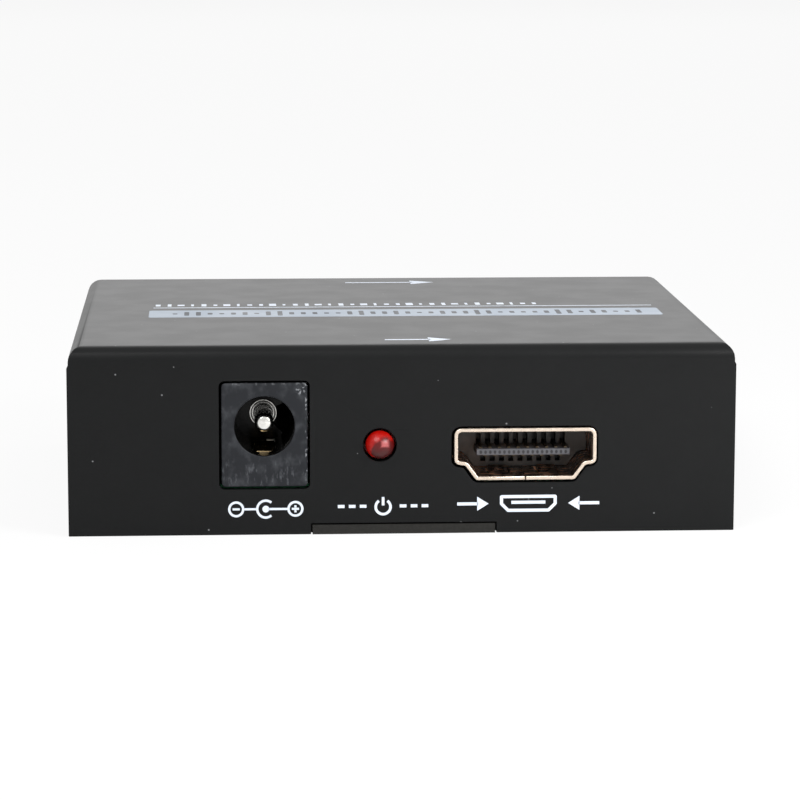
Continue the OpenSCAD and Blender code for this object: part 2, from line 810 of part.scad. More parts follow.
module circuit_board() {
    color("darkgreen") difference() {
        translate([0, 0, board_top - board_t]) linear_extrude(board_t)
            polygon(rounded(box_outline(2 * board_half_w, 2 * board_half_d, board_corner_r)));
        translate([0, 0, board_top]) board_screw_places() hole(0, 0, board_screw_r + board_hole_gap);
        at_front(jack_x) {
            slot([-terminal_tail_w / 2, terminal_tail_w / 2], [jack_end, jack_end + terminal_t]);
            slot([-leaf_w / 2, leaf_w / 2], [leaf_root_y - blade_t / 2, leaf_root_y + blade_t / 2]);
            slot([switch_x, switch_x + blade_t], [switch_y, switch_y + switch_w]);
        }
        at_front(lamp_x) for (side = [-1, 1])
            hole(side * lamp_lead_pitch / 2, lamp_lead_y, lamp_lead_w / 2 + hole_gap + pin_gap);
        at_front(input_x) socket_holes();
        at_rear(output_x) socket_holes();
        at_rear(optical_x) for (i = [-1:1])
            hole(i * emitter_lead_pitch, emitter_body_y + emitter_t / 2, emitter_lead_w / 2 + hole_gap + pin_gap);
        for (side = [-1, 1]) at_rear(audio_x + side * audio_pitch / 2) {
            slot([-ground_w / 2, ground_w / 2], [ground_y, ground_y + terminal_t]);
            slot([-center_tail_w / 2, center_tail_w / 2],
                 [audio_block_end + seat_gap, audio_block_end + seat_gap + terminal_t]);
        }
    }
}

// Power jack

module jack_arch() {
    r = jack_half_w - jack_back_inset;
    arch = [for (i = [0:2 * arc_steps]) let (a = 90 * i / arc_steps) [r * cos(a), jack_axis_h + r * sin(a)]];
    polygon(concat([[-r, 0], [r, 0]], arch));
}

module dc_jack_housing() {
    pocket_w = leaf_w / 2 + leaf_side_gap;
    color("black") at_front(jack_x) difference() {
        union() {
            along_y([jack_recess, jack_recess + jack_face_l]) translate([0, jack_h / 2])
                polygon(rounded(box_outline(jack_w, jack_h, jack_corner_r)));
            along_y([jack_recess + jack_face_l, jack_end]) jack_arch();
        }
        translate([0, 0, jack_axis_h]) {
            rod_y(jack_bore_d / 2, [jack_recess - over, jack_bore_end]);
            turned_y([[0, jack_recess - over], [jack_bore_d / 2 + jack_mouth + over, jack_recess - over],
                      [jack_bore_d / 2, jack_recess + jack_mouth], [0, jack_recess + jack_mouth]]);
            rod_y(jack_pin_d / 2 * pin_tail_r_share + pin_gap, [jack_bore_end - over, jack_end + over]);
        }
        slab([-pocket_w, pocket_w], [leaf_tip_y - 2 * leaf_side_gap, leaf_pocket_end],
             [jack_floor, leaf_root_z + leaf_travel]);
        slab([-pocket_w, pocket_w], [leaf_tip_y - 2 * leaf_side_gap, jack_bore_end],
             [jack_floor, leaf_hump_z]);
        slab([-pocket_w, switch_x + blade_t + pin_gap], [jack_bore_end - seat_gap, leaf_pocket_end],
             [jack_floor, leaf_pocket_top]);
        slab([-leaf_w / 2 - pin_gap, leaf_w / 2 + pin_gap],
             [leaf_root_y - blade_t / 2 - pin_gap, leaf_root_y + blade_t / 2 + pin_gap], [-over, jack_floor]);
        slab([switch_x - pin_gap, switch_x + blade_t + pin_gap],
             [switch_y - pin_gap, switch_y + switch_w + pin_gap], [-over, jack_floor]);
    }
}

module dc_jack_center_pin() {
    r = jack_pin_d / 2;
    tip = jack_recess + jack_pin_recess;
    tail_r = r * pin_tail_r_share;
    tail_end = jack_end + terminal_t + rivet_l;
    outline = rounded([
        [0, tip, 0], [r, tip, r * pin_round_share], [r, jack_bore_end - pin_collar_t, 0],
        [pin_collar_r, jack_bore_end - pin_collar_t, 0], [pin_collar_r, jack_bore_end, 0],
        [tail_r, jack_bore_end, 0], [tail_r, tail_end, 0], [0, tail_end, 0]
    ]);
    color("silver") at_front(jack_x) translate([0, 0, jack_axis_h]) turned_y(outline);
}

module dc_jack_pin_terminal() {
    y = [jack_end, jack_end + terminal_t];
    color("silver") at_front(jack_x) difference() {
        union() {
            slab([-terminal_w / 2, terminal_w / 2], y, [0, jack_axis_h + terminal_w / 2]);
            slab([-terminal_tail_w / 2, terminal_tail_w / 2], y, [-tail_l, 0]);
        }
        translate([0, 0, jack_axis_h])
            rod_y(jack_pin_d / 2 * pin_tail_r_share + pin_gap, [jack_end - over, jack_end + terminal_t + over]);
    }
}

module dc_jack_sleeve_terminal() {
    color("silver") at_front(jack_x)
        slab([-leaf_w / 2, leaf_w / 2], [leaf_root_y - blade_t / 2, leaf_root_y + blade_t / 2],
             [-tail_l, leaf_root_z - leaf_bead_r - seat_gap]);
}

// The leaf rises from its root to a hump under the plug, and falls away at its tip
module dc_jack_sleeve_spring() {
    t = leaf_t / 2;
    color("goldenrod") at_front(jack_x) {
        along_x([-leaf_w / 2, leaf_w / 2]) polygon([
            [leaf_root_y, leaf_root_z - t], [leaf_root_y, leaf_root_z + t],
            [leaf_hump_y, leaf_hump_z], [leaf_tip_y, leaf_hump_z - leaf_tip_drop],
            [leaf_tip_y, leaf_hump_z - leaf_tip_drop - leaf_t], [leaf_hump_y, leaf_hump_z - leaf_t]
        ]);
        translate([0, leaf_root_y, leaf_root_z]) rod_x(leaf_bead_r, [-leaf_w / 2, leaf_w / 2]);
    }
}

module dc_jack_switch_terminal() {
    finger_end = leaf_w / 2 - switch_overlap;
    color("silver") at_front(jack_x) along_y([switch_y, switch_y + switch_w]) polygon([
        [switch_x, -tail_l], [switch_x + blade_t, -tail_l], [switch_x + blade_t, switch_z + blade_t],
        [finger_end, switch_z + blade_t], [finger_end, switch_z], [switch_x, switch_z]
    ]);
}

// Power lamp

module power_led_lens() {
    tip = -lamp_proud;
    dome = [for (i = [0:2 * arc_steps]) let (a = 45 * i / arc_steps)
        [lamp_r * sin(a), tip + lamp_r - lamp_r * cos(a)]];
    collar_r = lamp_collar_d / 2;
    body = [[lamp_r, lamp_back - lamp_collar_t], [collar_r, lamp_back - lamp_collar_t],
            [collar_r, lamp_back], [0, lamp_back]];
    color("firebrick") at_front(lamp_x) translate([0, 0, lamp_axis_h]) difference() {
        turned_y(concat(dome, body));
        slab([collar_r - lamp_flat, collar_r + over], [lamp_back - lamp_collar_t - seat_gap, lamp_back + over],
             [-collar_r, collar_r]);
    }
}

module power_led_leads() {
    half = lamp_lead_w / 2;
    color("silver") at_front(lamp_x) for (side = [-1, 1])
        translate([side * lamp_lead_pitch / 2, 0, 0])
            along_x([-half, half]) polygon([
                [lamp_back, lamp_axis_h + half], [lamp_back, lamp_axis_h - half],
                [lamp_lead_y - half, lamp_axis_h - half], [lamp_lead_y - half, -tail_l],
                [lamp_lead_y + half, -tail_l], [lamp_lead_y + half, lamp_axis_h + half]
            ]);
}

// Video sockets

module socket_finger(x, foot) {
    z = socket_h / 2;
    end = finger_start + finger_l;
    bend = end - finger_curl;
    strip = [
        [finger_start, z], [finger_start, z - socket_sheet],
        [bend, z - socket_sheet - finger_drop], [end, z - socket_sheet - finger_drop + finger_curl],
        [end, z - finger_drop + finger_curl], [bend, z - finger_drop]
    ];
    translate([x, 0, 0]) mirror([0, 0, foot ? 1 : 0])
        along_x([-finger_w / 2, finger_w / 2]) polygon(strip);
}

module socket_shell() {
    rim = -socket_proud;
    legs_x = socket_w / 2;
    color("wheat") translate([0, 0, socket_axis_h]) {
        difference() {
            union() {
                along_y([rim, rim + socket_l]) polygon(rounded(socket_outline));
                for (side = [-1, 1], y = socket_leg_ys)
                    slab([side * (legs_x - socket_sheet / 2) - socket_sheet / 2,
                          side * (legs_x - socket_sheet / 2) + socket_sheet / 2],
                         [y - socket_leg_w / 2, y + socket_leg_w / 2], [-tail_l - socket_axis_h, 0]);
            }
            along_y([rim - over, rim + socket_l + over])
                polygon(rounded(inset(socket_outline, socket_sheet)));
            slab([-shell_seam / 2, shell_seam / 2], [rim - over, rim + socket_l + over],
                 [-socket_h / 2 - over, -socket_h / 2 + socket_sheet + pin_gap]);
            for (side = [-1, 1]) {
                socket_finger_window(side * top_finger_x, 1);
                socket_finger_window(side * foot_finger_x, -1);
            }
        }
        for (side = [-1, 1]) {
            socket_finger(side * top_finger_x, false);
            socket_finger(side * foot_finger_x, true);
        }
    }
}

module socket_finger_window(x, up) {
    half = finger_w / 2 + finger_slit;
    z = up * (socket_h / 2 - socket_sheet / 2);
    slab([x - half, x + half], [finger_start, finger_start + finger_l + finger_slit],
         [z - socket_sheet / 2 - pin_gap, z + socket_sheet / 2 + pin_gap]);
}

// Middle of a contact, numbered from 0, in the upper row or the lower one
function contact_x(i, upper) = (i - (contact_count - 1) / 2 + (upper ? 0 : 0.5)) * contact_pitch;
function row_count(upper) = upper ? contact_count : contact_count - 1;

module each_contact(upper) {
    for (i = [0:row_count(upper) - 1]) translate([contact_x(i, upper), 0, 0]) children();
}

module socket_insulator() {
    back = socket_cavity - socket_proud;
    block_end = socket_l - socket_proud;
    rear_end = block_end + rear_block_t;
    upper = tongue_z + tongue_t / 2;
    lower = tongue_z - tongue_t / 2;
    half = contact_w / 2 + pin_gap;
    window = contact_window_w / 2;
    color("black") difference() {
        union() {
            translate([0, 0, socket_axis_h]) along_y([back, block_end])
                polygon(rounded(inset(socket_outline, socket_sheet + pin_gap)));
            slab([-rear_block_w / 2, rear_block_w / 2], [block_end, rear_end],
                 [0, socket_axis_h + socket_h / 2]);
            slab([-tongue_w / 2, tongue_w / 2], [tongue_depth - socket_proud, back], [lower, upper]);
        }
        each_contact(true) {
            slab([-half, half], [back - over, rear_end + over], [upper, upper + contact_t + pin_gap]);
            slab([-window, window], [back - over, back + contact_window_l],
                 [upper, upper + contact_window_h]);
        }
        each_contact(false) {
            slab([-half, half], [back - over, rear_end + over], [lower - contact_t - pin_gap, lower]);
            slab([-window, window], [back - over, back + contact_window_l],
                 [lower - contact_window_h, lower]);
        }
    }
}

module socket_contact(low, high) {
    start = tongue_depth - socket_proud + contact_setback;
    down = socket_l - socket_proud + rear_block_t + seat_gap;
    along_x([-contact_w / 2, contact_w / 2]) polygon([
        [start, low], [down, low], [down, 0], [down + contact_t + contact_foot, 0],
        [down + contact_t + contact_foot, contact_t], [down + contact_t, contact_t],
        [down + contact_t, high], [start, high]
    ]);
}

module socket_contacts() {
    upper = tongue_z + tongue_t / 2;
    lower = tongue_z - tongue_t / 2;
    color("gold") {
        each_contact(true) socket_contact(upper, upper + contact_t);
        each_contact(false) socket_contact(lower - contact_t, lower);
    }
}

module input_socket_shell() {
    at_front(input_x) socket_shell();
}
module input_socket_insulator() {
    at_front(input_x) socket_insulator();
}
module input_socket_contacts() {
    at_front(input_x) socket_contacts();
}
module output_socket_shell() {
    at_rear(output_x) socket_shell();
}
module output_socket_insulator() {
    at_rear(output_x) socket_insulator();
}
module output_socket_contacts() {
    at_rear(output_x) socket_contacts();
}

// Optical jack

module optical_jack_housing() {
    color("black") at_rear(optical_x) difference() {
        slab([-optical_w / 2, optical_w / 2], [0, optical_l], [0, optical_h]);
        slab([-port_w / 2, port_w / 2], [-over, port_lip + over], [port_sill, port_top]);
        slab([-cavity_w / 2, cavity_w / 2], [port_lip, port_l], [port_sill - sill_step, recess_top]);
        translate([0, 0, ferrule_z]) rod_y(ferrule_d / 2, [port_l - over, emitter_y + over]);
        slab([-emitter_w / 2 - pin_gap, emitter_w / 2 + pin_gap], [emitter_y, optical_l + over],
             [-over, ferrule_z + emitter_h / 2 + pin_gap]);
        translate([0, hinge_y, hinge_z]) rod_x(trunnion_r + pin_gap,
            [-shutter_half_w - trunnion_l - shutter_side_gap, shutter_half_w + trunnion_l + shutter_side_gap]);
    }
}

module optical_jack_shutter() {
    notch = spring_notch_w / 2;
    color("dimgray") at_rear(optical_x) {
        difference() {
            union() {
                slab([-shutter_half_w, shutter_half_w], [shutter_front, shutter_front + shutter_t],
                     [shutter_bottom, hinge_z]);
                translate([0, hinge_y, hinge_z])
                    rod_x(trunnion_r, [-shutter_half_w - trunnion_l, shutter_half_w + trunnion_l]);
            }
            slab([-notch, notch], [0, hinge_y + over], [hinge_z - spring_notch_h, hinge_z + over]);
        }
        translate([0, hinge_y, hinge_z]) rod_x(spring_pin_r, [-notch, notch]);
    }
}

function tangent(path, i) =
    unit(path[min(i + 1, len(path) - 1)] - path[max(i - 1, 0)]);
function ring(path, i, r, n) =
    let (
        t = tangent(path, i),
        u = unit(cross(t, [t.x, -t.z, t.y] + [1, 0, 0])),
        v = cross(t, u)
    ) [for (k = [0:n - 1]) path[i] + r * (cos(360 * k / n) * u + sin(360 * k / n) * v)];

module tube(path, r, n) {
    last = len(path) - 1;
    points = [for (i = [0:last]) each ring(path, i, r, n)];
    sides = [for (i = [0:last - 1], k = [0:n - 1])
        each let (a = i * n + k, b = i * n + (k + 1) % n) [[a, b, b + n], [a, b + n, a + n]]];
    ends = [
        for (k = [1:n - 2]) [0, k + 1, k],
        for (k = [1:n - 2]) [last * n, last * n + k, last * n + k + 1]
    ];
    polyhedron(points, concat(sides, ends));
}

module optical_jack_shutter_spring() {
    color("silver") at_rear(optical_x) translate([0, hinge_y, hinge_z])
        tube(spring_path, wire_d / 2, spring_sides);
}

module optical_jack_emitter() {
    color("darkslategray") at_rear(optical_x) {
        slab([-emitter_w / 2, emitter_w / 2], [emitter_body_y, emitter_body_y + emitter_t],
             [ferrule_z - emitter_h / 2, ferrule_z + emitter_h / 2]);
        translate([0, 0, ferrule_z]) rod_y(emitter_lens_d / 2, [emitter_y + seat_gap, emitter_body_y]);
    }
}

module optical_jack_leads() {
    half = emitter_lead_w / 2;
    y = emitter_body_y + emitter_t / 2;
    color("silver") at_rear(optical_x) for (i = [-1:1])
        translate([i * emitter_lead_pitch, y, 0])
            slab([-half, half], [-half, half], [-tail_l, ferrule_z - emitter_h / 2]);
}

// Audio jacks

module audio_place(side) {
    at_rear(audio_x + side * audio_pitch / 2) translate([0, 0, audio_axis_h]) children();
}

module audio_places() {
    for (side = [-1, 1]) audio_place(side) children();
}

module audio_jack_block() {
    half = ground_w / 2 + pin_gap;
    color("black") difference() {
        at_rear(audio_x) slab([-audio_block_w / 2, audio_block_w / 2],
                               [audio_block_y, audio_block_end], [0, audio_block_h]);
        audio_places() {
            rod_y(barrel_r - barrel_step + pin_gap, [audio_block_y - over, barrel_end]);
            rod_y(center_tail_r + pin_gap, [barrel_end - over, audio_block_end + over]);
            slab([-half, half], [ground_y - pin_gap, ground_y + terminal_t + pin_gap],
                 [-audio_axis_h - over, barrel_step - barrel_r + over]);
        }
        at_rear(audio_x) slab([-block_relief, block_relief], [audio_block_y - over, barrel_end],
                               [-over, audio_block_h + over]);
    }
}

module audio_jack_barrel(side) {
    rim = barrel_wall * barrel_rim_r_share;
    inner = barrel_r - barrel_wall;
    color("silver") audio_place(side) turned_y(rounded([
        [inner, -barrel_l, 0], [barrel_r, -barrel_l, rim], [barrel_r, audio_block_y - barrel_step_l, 0],
        [barrel_r - barrel_step, audio_block_y - barrel_step_l, 0], [barrel_r - barrel_step, barrel_end, 0],
        [inner, barrel_end, 0]
    ]));
}

module audio_jack_insulator(side, tint) {
    front = -barrel_l + insulator_recess;
    outer = barrel_r - barrel_wall - pin_gap;
    seat = center_bore_d / 2 + center_wall + pin_gap;
    tail = center_tail_r + pin_gap;
    pocket_end = center_y + center_l + pin_gap;
    color(tint) audio_place(side) turned_y([
        [insulator_lip_r, front], [outer, front], [outer, barrel_end], [tail, barrel_end],
        [tail, pocket_end], [seat, pocket_end], [seat, center_y - pin_gap],
        [insulator_lip_r, center_y - pin_gap]
    ]);
}

module audio_jack_contact(side) {
    bore = center_bore_d / 2;
    outer = bore + center_wall;
    tube_end = center_y + center_l;
    tail_end = audio_block_end + seat_gap;
    color("gainsboro") audio_place(side) {
        turned_y([
            [bore, center_y], [outer, center_y], [outer, tube_end], [center_tail_r, tube_end],
            [center_tail_r, tail_end], [0, tail_end], [0, tube_end - center_plug_l],
            [bore, tube_end - center_plug_l]
        ]);
        slab([-center_tail_w / 2, center_tail_w / 2], [tail_end, tail_end + terminal_t],
             [-audio_axis_h - tail_l, center_tail_r]);
    }
}

module audio_jack_left_barrel() {
    audio_jack_barrel(1);
}
module audio_jack_right_barrel() {
    audio_jack_barrel(-1);
}
module audio_jack_left_insulator() {
    audio_jack_insulator(1, "white");
}
module audio_jack_right_insulator() {
    audio_jack_insulator(-1, "firebrick");
}
module audio_jack_left_contact() {
    audio_jack_contact(1);
}
module audio_jack_right_contact() {
    audio_jack_contact(-1);
}

module audio_jack_ground_terminals() {
    color("silver") audio_places()
        slab([-ground_w / 2, ground_w / 2], [ground_y, ground_y + terminal_t],
             [-audio_axis_h - tail_l, barrel_step - barrel_r - seat_gap]);
}

// Chips with bent leads

module chip_body(l, w) {
    difference() {
        translate([0, 0, chip_lift]) linear_extrude(chip_h) square([l, w], center = true);
        translate([-l / 2 + 2 * chip_dot_r, -w / 2 + 2 * chip_dot_r, chip_lift + chip_h - chip_dot_depth])
            cylinder(h = chip_dot_depth + over, r = chip_dot_r);
    }
}

module bent_lead(w, reach) {
    toe = reach - lead_foot;
    along_x([-w / 2, w / 2]) polygon([
        [0, lead_z], [lead_knee, lead_z], [toe - lead_t, 0], [reach, 0], [reach, lead_t],
        [toe, lead_t], [lead_knee + lead_t, lead_z + lead_t], [0, lead_z + lead_t]
    ]);
}

// A row of leads along one long side of a chip of width w
module lead_row(w, count, pitch, lead_w) {
    for (i = [0:count - 1])
        translate([(i - (count - 1) / 2) * pitch, w / 2, 0]) bent_lead(lead_w, lead_reach);
}

module video_chip_body() {
    color("black") on_board(video_chip_share) chip_body(video_chip_w, video_chip_w);
}

module video_chip_leads() {
    color("silver") on_board(video_chip_share) for (a = [0:90:270])
        rotate([0, 0, a]) lead_row(video_chip_w, video_chip_pins, video_pin_pitch, video_lead_w);
}

module sound_chip_body() {
    color("black") on_board(sound_chip_share) chip_body(audio_chip_l, small_chip_w);
}

module sound_chip_leads() {
    color("silver") on_board(sound_chip_share) for (a = [0, 180])
        rotate([0, 0, a]) lead_row(small_chip_w, audio_chip_pins, small_pin_pitch, small_lead_w);
}

module memory_chip_body() {
    color("black") on_board(memory_chip_share) chip_body(memory_chip_l, small_chip_w);
}

module memory_chip_leads() {
    color("silver") on_board(memory_chip_share) for (a = [0, 180])
        rotate([0, 0, a]) lead_row(small_chip_w, memory_chip_pins, small_pin_pitch, small_lead_w);
}

module regulator_bodies() {
    color("black") for (share = regulator_shares)
        on_board(share) translate([0, 0, chip_lift]) linear_extrude(regulator_h)
            square([regulator_l, regulator_w], center = true);
}

module regulator_leads() {
    color("silver") for (share = regulator_shares) on_board(share) {
        for (i = [-1:1])
            translate([i * regulator_pitch, -regulator_w / 2, 0]) rotate([0, 0, 180])
                bent_lead(regulator_lead_w, regulator_reach);
        translate([0, regulator_w / 2, 0]) bent_lead(regulator_tab_w, regulator_reach);
    }
}

// Power parts

module capacitor_cans() {
    r = can_d / 2;
    groove = can_base_t + can_groove_z;
    outline = rounded([
        [0, can_base_t, 0], [r, can_base_t, 0], [r, groove, 0],
        [r - can_groove_depth, groove + can_groove_w / 2, 0], [r, groove + can_groove_w, 0],
        [r, can_h, can_round], [0, can_h, 0]
    ]);
    color("silver") for (share = can_shares) on_board(share) rotate_extrude() polygon(outline);
}

module capacitor_bases() {
    w = can_d + 2 * can_base_rim;
    chamfer = w * can_chamfer_share;
    color("black") for (share = can_shares) on_board(share)
        translate([0, 0, can_lead_t]) linear_extrude(can_base_t - can_lead_t) polygon([
            [-w / 2, -w / 2 + chamfer], [-w / 2 + chamfer, -w / 2], [w / 2, -w / 2],
            [w / 2, w / 2], [-w / 2 + chamfer, w / 2], [-w / 2, w / 2 - chamfer]
        ]);
}

module capacitor_leads() {
    w = can_d / 2 + can_base_rim + can_lead_out;
    inner = can_d / 2 * can_lead_inner_share;
    color("silver") for (share = can_shares, side = [0, 180]) on_board(share)
        rotate([0, 0, side])
            slab([inner, w], [-can_lead_w / 2, can_lead_w / 2], [0, can_lead_t]);
}

module power_inductor_core() {
    disc_r = inductor_disc_d / 2;
    color("darkslategray") on_board(inductor_share) {
        linear_extrude(inductor_flange_t) square(inductor_w, center = true);
        translate([0, 0, inductor_flange_t])
            cylinder(h = inductor_h - 2 * inductor_flange_t, r = inductor_post_d / 2);
        translate([0, 0, inductor_h - inductor_flange_t]) cylinder(h = inductor_flange_t, r = disc_r);
    }
}

module power_inductor_winding() {
    inner = inductor_post_d / 2 + pin_gap;
    outer = inductor_disc_d / 2 - inductor_rim;
    color("peru") on_board(inductor_share) rotate_extrude() polygon([
        [inner, inductor_flange_t], [outer, inductor_flange_t],
        [outer, inductor_h - inductor_flange_t], [inner, inductor_h - inductor_flange_t]
    ]);
}

module protection_diode_body() {
    color("black") on_board(diode_share) translate([0, 0, diode_lead_t]) linear_extrude(diode_h)
        square([diode_l, diode_w], center = true);
}

module protection_diode_leads() {
    end = diode_l / 2;
    top = diode_lead_t + diode_h / 2;
    color("silver") on_board(diode_share) for (a = [0, 180]) rotate([0, 0, a])
        along_y([-diode_lead_w / 2, diode_lead_w / 2]) polygon([
            [end * (1 - end_l_share), 0], [end + diode_lead_t, 0], [end + diode_lead_t, top],
            [end, top], [end, diode_lead_t], [end * (1 - end_l_share), diode_lead_t]
        ]);
}

// Small parts

module crystal_base() {
    color("dimgray") on_board(crystal_share) linear_extrude(crystal_base_t)
        square([crystal_l, crystal_w], center = true);
}

module crystal_lid() {
    lid = box_outline(crystal_l - 2 * crystal_lid_inset, crystal_w - 2 * crystal_lid_inset, crystal_lid_inset);
    color("silver") on_board(crystal_share) translate([0, 0, crystal_base_t])
        linear_extrude(crystal_lid_t) polygon(rounded(lid));
}

module chip_part_middles(shares, h) {
    half = chip_part_l / 2 * (1 - 2 * end_l_share);
    for (share = shares) on_board(share)
        slab([-chip_part_w / 2, chip_part_w / 2], [-half, half], [0, h]);
}

module ceramic_capacitors() {
    color("burlywood") chip_part_middles(ceramic_shares, ceramic_h);
}

module chip_resistors() {
    color("black") chip_part_middles(resistor_shares, resistor_h);
}

module chip_ends(shares, h) {
    half = chip_part_l / 2;
    for (share = shares, a = [0, 180]) on_board(share) rotate([0, 0, a])
        slab([-chip_part_w / 2, chip_part_w / 2], [half * (1 - 2 * end_l_share), half], [0, h]);
}

module chip_part_ends() {
    color("silver") {
        chip_ends(ceramic_shares, ceramic_h);
        chip_ends(resistor_shares, resistor_h);
    }
}

module ferrite_beads() {
    color("darkgray") for (share = ferrite_shares) on_board(share)
        linear_extrude(ceramic_h) square([ferrite_l, ferrite_w], center = true);
}

module surge_arresters() {
    color("black") for (share = arrester_shares) on_board(share)
        linear_extrude(arrester_h) square([arrester_l, arrester_w], center = true);
}

cover();
base_plate();
cover_screws();
board_standoffs();
board_screws();
circuit_board();
dc_jack_housing();
dc_jack_center_pin();
dc_jack_pin_terminal();
dc_jack_sleeve_terminal();
dc_jack_sleeve_spring();
dc_jack_switch_terminal();
power_led_lens();
power_led_leads();
input_socket_shell();
input_socket_insulator();
input_socket_contacts();
output_socket_shell();
output_socket_insulator();
output_socket_contacts();
optical_jack_housing();
optical_jack_shutter();
optical_jack_shutter_spring();
optical_jack_emitter();
optical_jack_leads();
audio_jack_block();
audio_jack_left_barrel();
audio_jack_right_barrel();
audio_jack_left_insulator();
audio_jack_right_insulator();
audio_jack_left_contact();
audio_jack_right_contact();
audio_jack_ground_terminals();
video_chip_body();
video_chip_leads();
sound_chip_body();
sound_chip_leads();
memory_chip_body();
memory_chip_leads();
regulator_bodies();
regulator_leads();
capacitor_cans();
capacitor_bases();
capacitor_leads();
power_inductor_core();
power_inductor_winding();
protection_diode_body();
protection_diode_leads();
crystal_base();
crystal_lid();
ceramic_capacitors();
chip_resistors();
chip_part_ends();
ferrite_beads();
surge_arresters();
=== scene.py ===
"""The look of a small sheet-steel box that passes video on and takes its sound out.

Every size is in millimetres in the object's own frame, and becomes metres when a piece is finished.
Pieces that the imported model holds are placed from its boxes, so they follow it.
"""

import json
import logging
import math
from dataclasses import dataclass, field
from enum import Enum
from functools import cache
from typing import Callable, Iterator, Sequence

import bmesh
import bpy
from mathutils import Matrix, Vector


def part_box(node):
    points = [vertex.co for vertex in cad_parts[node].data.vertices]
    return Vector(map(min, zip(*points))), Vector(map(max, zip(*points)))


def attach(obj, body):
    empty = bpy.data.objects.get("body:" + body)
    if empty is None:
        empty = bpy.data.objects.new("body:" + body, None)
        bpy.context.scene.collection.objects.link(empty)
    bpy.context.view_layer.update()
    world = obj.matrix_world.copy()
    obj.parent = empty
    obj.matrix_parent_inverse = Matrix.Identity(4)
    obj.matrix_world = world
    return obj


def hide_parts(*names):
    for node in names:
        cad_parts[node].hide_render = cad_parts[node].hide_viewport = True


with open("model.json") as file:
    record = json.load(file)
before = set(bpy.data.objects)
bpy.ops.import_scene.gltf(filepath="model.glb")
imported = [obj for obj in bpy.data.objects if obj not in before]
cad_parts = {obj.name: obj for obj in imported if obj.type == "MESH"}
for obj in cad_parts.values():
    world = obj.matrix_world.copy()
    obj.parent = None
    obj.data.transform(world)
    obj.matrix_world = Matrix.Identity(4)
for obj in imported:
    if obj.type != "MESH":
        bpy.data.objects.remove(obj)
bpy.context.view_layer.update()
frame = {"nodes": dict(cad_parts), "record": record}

log = logging.getLogger("scene")
Point2 = tuple[float, float]
Point3 = tuple[float, float, float]
Outline = Sequence[Point2]
Corner = tuple[float, float, float]
Color = tuple[float, float, float]
Vert = bmesh.types.BMVert
Edge = bmesh.types.BMEdge
Face = bmesh.types.BMFace
Object = bpy.types.Object
EdgeTest = Callable[[Edge], bool]

MM = 0.001
MERGE = 1e-4  # Points nearer than this are one point, in millimetres.
INK = 0.012  # Thickness of a print, in millimetres.
FLAT = 0.999  # A normal's part along an axis, above which its face counts as square to the axis.
CORNER_STEPS = 6  # Steps of the arc at an outline's rounded corner.
TURN_STEPS = 48  # Steps round a turned piece.
NEAR = 0.02  # How near a face a point counts as on it, in millimetres.


class Wall(Enum):
    """The wall of the case that a connector looks out of."""

    FRONT = "front"
    REAR = "rear"


class Body(Enum):
    """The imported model's bodies."""

    CASE = "case"
    LEAF = "sleeve_leaf"
    SHUTTER = "shutter"


# Places and outlines


def low_high(node: str) -> tuple[Vector, Vector]:
    """Gives the corners of a node's box.

    Args:
        node: Name of the node.

    Returns:
        Its lowest and highest corner, in millimetres.
    """
    low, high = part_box(node)
    return low / MM, high / MM


def middle(node: str) -> Vector:
    """Returns the middle of a node's box, in millimetres."""
    low, high = low_high(node)
    return (low + high) / 2


def arc(centre: Point2, radius: float, start: float, sweep: float, steps: int) -> list[Point2]:
    """Works out points along an arc.

    Args:
        centre: Middle of the arc.
        radius: Its radius.
        start: Angle of its first point, in degrees.
        sweep: Angle from its first point to its last, in degrees.
        steps: Number of equal steps.

    Returns:
        One point more than there are steps.
    """
    angles = [math.radians(start + sweep * i / steps) for i in range(steps + 1)]
    return [(centre[0] + radius * math.cos(a), centre[1] + radius * math.sin(a)) for a in angles]


def circle(centre: Point2, radius: float, steps: int = 48) -> list[Point2]:
    """Returns the points of a full circle, counter-clockwise."""
    return arc(centre, radius, 0, 360, steps)[:-1]


def sides(corners: Sequence[Corner]) -> Iterator[tuple[Vector, Vector, Vector]]:
    """Walks round a closed outline.

    Args:
        corners: Its corners.

    Yields:
        Each corner's place, and the directions of the sides into it and out of it.
    """
    places = [Vector(corner[:2]) for corner in corners]
    for before, here, after in zip(places[-1:] + places, places, places[1:] + places[:1]):
        yield here, (here - before).normalized(), (after - here).normalized()


def mitre(into: Vector, out: Vector) -> Vector:
    """Returns how far a corner moves when the sides into it and out of it move left by 1."""
    return Vector((-into.y - out.y, into.x + out.x)) / (1 + into.dot(out))


def rounded(corners: Sequence[Corner]) -> list[Point2]:
    """Rounds the corners of a closed outline.

    Args:
        corners: Each corner's place and radius, counter-clockwise.

    Returns:
        The outline's points.
    """
    points = []
    for (x, y, radius), (here, into, out) in zip(corners, sides(corners)):
        if radius <= 0:
            points.append((x, y))
            continue
        half = (-into).angle(out) / 2
        centre = here + (out - into).normalized() * (radius / math.sin(half))
        first = here - into * (radius / math.tan(half)) - centre
        last = here + out * (radius / math.tan(half)) - centre
        start = math.degrees(math.atan2(first.y, first.x))
        sweep = math.degrees(math.atan2(last.y, last.x)) - start
        sweep = (sweep + 180) % 360 - 180
        points += arc(centre[:], radius, start, sweep, CORNER_STEPS)
    return points


def rectangle(left: float, right: float, low: float, high: float, radius: float = 0.0) -> list[Point2]:
    """Returns the outline of a rectangle with rounded corners."""
    return rounded([(left, low, radius), (right, low, radius), (right, high, radius), (left, high, radius)])


